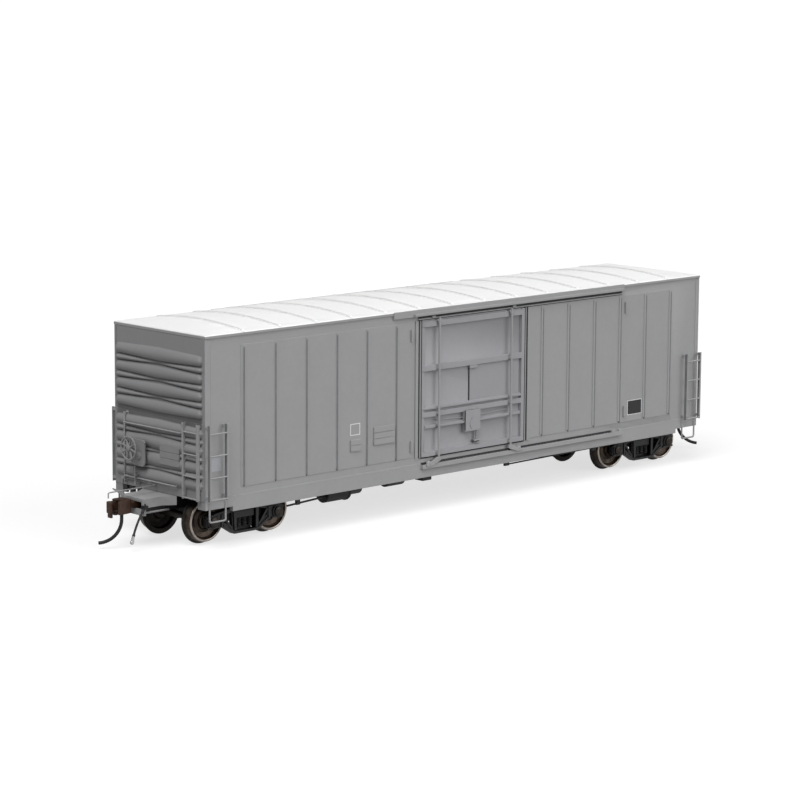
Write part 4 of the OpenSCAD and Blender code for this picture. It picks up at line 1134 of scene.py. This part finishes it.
# couplers with a cast head, a knuckle on its own pin and a bent trip pin
def addCouplers(c):
    half, k = c["half"], c["knuckleHalf"]
    kx, ky = c["knuckleAt"]
    pin = ((0, -half - 0.75), (0.6, -half - 0.75), (0.75, -half - 0.6), (0.75, -half - 0.05), (0.35, -half - 0.05),
           (0.35, half), (0, half))
    lean, bend = math.radians(c["pinLean"]), c["pinBend"]
    path = [(0, 0.4), (0, -1.2)]
    for a in range(8, 87, 6):
        path.append((bend * (1 - math.cos(math.radians(a))), -1.2 - bend * math.sin(math.radians(a))))
    for end, turn in (("brake_end", 0), ("plain_end", 180)):
        place = lambda a, b, d: Matrix.Rotation(math.radians(turn), 3, "Z") @ Vector((a - c["pivotX"], b, d + c["z"]))
        onPin = lambda a, b, d: place(a + kx, b + ky, d)
        bm = bmesh.new()
        prism(bm, c["shank"], -c["shankHalf"], c["shankHalf"], place)
        prism(bm, c["head"], -half, half, place)
        for low, high in ((-half, -k - 0.1), (k + 0.1, half)):
            prism(bm, c["cheek"], low, high, place)
        addPiece(end + "_couplerHead", bm, end + "_coupler_body", "brown",
                 (end + "_coupler",), edge=0.16)
        bm = bmesh.new()
        prism(bm, c["jaw"], -k, k, onPin)
        prism(bm, c["nose"], *c["noseSpan"], onPin)
        prism(bm, c["lug"], *c["lugSpan"], onPin)
        lathe(bm, pin, 20, onPin)
        addPiece(end + "_knuckleJaw", bm, end + "_knuckle_body", "brown",
                 (end + "_knuckle",), edge=0.14)
        bm = bmesh.new()
        wire = [place(-12.95 - u * math.sin(lean), u * math.cos(lean) - 0.27, v + c["pinTop"]) for u, v in path]
        tube(bm, wire, c["pinWire"], 16)
        addPiece(end + "_tripPinWire", bm, end + "_coupler_body", "rubber",
                 (end + "_trip_pin",), angle=50)


addCouplers(coupler)

hose = {"bend": 18.7, "from": 39.5, "to": 17, "radius": 0.275, "x": -97.23, "y": -4.9, "z": 10.06}


# air hoses that hang in an arc, each with a coupling at its tip
def addHoses(h):
    top = math.radians(h["from"])
    cx, cz = h["x"] + h["bend"] * math.cos(top), h["z"] - h["bend"] * math.sin(top)

    def at(degrees):
        slope = math.radians(degrees)
        return Vector((cx - h["bend"] * math.cos(slope), h["y"], cz + h["bend"] * math.sin(slope)))

    bm = bmesh.new()
    tube(bm, [at(h["from"] + (h["to"] - h["from"]) * k / 14) for k in range(15)], h["radius"], 14)
    for degrees in (h["from"] - 2.5, h["to"] + 1.2):
        tube(bm, [at(degrees + 1), at(degrees - 1)], h["radius"] + 0.1, 14)
    box(bm, (-97.5, -5.3, 9.9), (-96.3, -4.0, 10.8))
    tube(bm, [(-97.05, -5.0, 10.3), (-97.05, -5.0, 11.3)], 0.2, 8)
    addPiece("airHoses", bm, "car_body", "rubber", ("air_hoses",), both=True, angle=50)
    bm = bmesh.new()
    tip = at(h["to"])
    along = (at(h["to"] - 1) - tip).normalized()
    tube(bm, [tip - along * 0.3, tip + along * 0.7, tip + along * 0.9], 0.38, 14)
    side = Vector((0, 1, 0))
    other = along.cross(side)
    middle = tip + along * 1.2
    lathe(bm, ((0, -0.3), (0.4, -0.3), (0.55, -0.15), (0.55, 0.15), (0.4, 0.3), (0.2, 0.25), (0, 0.25)), 20,
          lambda a, b, c: middle + along * a + other * b + side * c)
    addPiece("gladHands", bm, "car_body", "silver", ("glad_hands",), edge=0.04, both=True)


addHoses(hose)
for node, finish, edge in (("strikers", "grey", 0.14), ("draft_boxes", "black", 0.12),
                           ("brake_cylinder", "black", 0.12), ("air_reservoir", "black", 0.15),
                           ("brake_valve", "black", 0.15), ("brake_rods", "black", 0.05)):
    roundedCopy(node, finish, edge)
print("couplers, hoses and brake gear made")

marks = {
    # left, low, right and high edge, width of the line, and how far it stands off the panel
    "outlines": ((-41.8, 22.75, -38.5, 25.7, 0.2, 0.03), (59.9, 16.3, 65.6, 20.3, 0.16, 0.05)),
    "plate": (59.95, 16.35, 65.55, 20.25), "stencil": (-86.5, 19.4, -83.4, 22.9), "proud": 0.03,
}


# blank stencils and plates, with nothing written on them
def addMarks(m):
    y, panel = sideFace(), body["panelProud"]
    bm = bmesh.new()
    for x0, z0, x1, z1, width, proud in m["outlines"]:
        out = panel + proud
        for left, low, right, high in ((x0, z0, x1, z0 + width), (x0, z1 - width, x1, z1),
                                       (x0, z0 + width, x0 + width, z1 - width),
                                       (x1 - width, z0 + width, x1, z1 - width)):
            box(bm, (left, y - out, low), (right, y - out + 0.1, high))
    shellPiece("whiteOutlines", bm, "mark")
    for name, key, face, finish in (("blackPlates", "plate", y - panel, "plate"),
                                    ("paleStencils", "stencil", y, "paleMark")):
        bm = bmesh.new()
        left, low, right, high = m[key]
        box(bm, (left, face - m["proud"], low), (right, face + 0.1, high))
        shellPiece(name, bm, finish)


addMarks(marks)

stage = {"size": 3.0, "colour": (0.35, 0.35, 0.35), "lift": 0.69, "mirrored": 0.3}


# a grey floor that the camera sees nearly white
def addStage(s):
    mesh = bpy.data.meshes.new("floor")
    h = s["size"]
    mesh.from_pydata([(-h, -h, 0), (h, -h, 0), (h, h, 0), (-h, h, 0)], [], [(0, 1, 2, 3)])
    floor = bpy.data.objects.new("floor", mesh)
    bpy.context.scene.collection.objects.link(floor)
    material = bpy.data.materials.new("studioFloor")
    material.use_nodes = True
    g = Graph(material.node_tree)
    shader = next(n for n in g.tree.nodes if n.type == "BSDF_PRINCIPLED")
    shader.inputs["Base Color"].default_value = rgba(s["colour"])
    shader.inputs["Roughness"].default_value = 0.9
    shader.inputs["Specular IOR Level"].default_value = 0.1
    rays = g.tree.nodes.new("ShaderNodeLightPath")
    seen = Wire(g, rays.outputs["Is Camera Ray"]) * s["lift"] + Wire(g, rays.outputs["Is Glossy Ray"]) * s["mirrored"]
    shader.inputs["Emission Color"].default_value = (1, 1, 1, 1)
    g.tree.links.new(seen.socket, shader.inputs["Emission Strength"])
    floor.data.materials.append(material)


studio = {
    "ambient": 0.17, "mirrored": 0.4,
    "lamps": {
        "overhead": {"energy": 2.35, "spread": 40, "towards": (-0.5, -0.25, 0.83)},
        "side": {"energy": 1.6, "spread": 50, "towards": (0.4, -0.8, 0.43)},
    },
}


# an even white surround, with two soft suns
def addLights():
    world = bpy.data.worlds.new("studio")
    bpy.context.scene.world = world
    world.use_nodes = True
    g = Graph(world.node_tree)
    back = next(n for n in g.tree.nodes if n.type == "BACKGROUND")
    rays = g.tree.nodes.new("ShaderNodeLightPath")
    seen = Wire(g, rays.outputs["Is Camera Ray"]) * (1 - studio["ambient"])
    mirrored = Wire(g, rays.outputs["Is Glossy Ray"]) * (studio["mirrored"] - studio["ambient"])
    strength = seen + mirrored + studio["ambient"]
    g.tree.links.new(strength.socket, back.inputs["Strength"])
    back.inputs["Color"].default_value = (1, 1, 1, 1)
    for name, lamp in studio["lamps"].items():
        data = bpy.data.lights.new(name, "SUN")
        data.energy = lamp["energy"]
        data.angle = math.radians(lamp["spread"])
        obj = bpy.data.objects.new(name, data)
        obj.rotation_euler = Vector(lamp["towards"]).to_track_quat("Z", "Y").to_euler()
        bpy.context.scene.collection.objects.link(obj)


addStage(stage)
addLights()
bpy.context.scene.view_settings.view_transform = "Standard"

slotFinish = {"grey_shell": "grey", "white_roof": "roof", "black_plastic": "black", "brown_metal": "brown",
              "wheel_metal": "wheel", "steel": "steel"}
for name, obj in nodes.items():
    obj.data.materials.clear()
    obj.data.materials.append(finishes[slotFinish[nodeSlots[name]]])
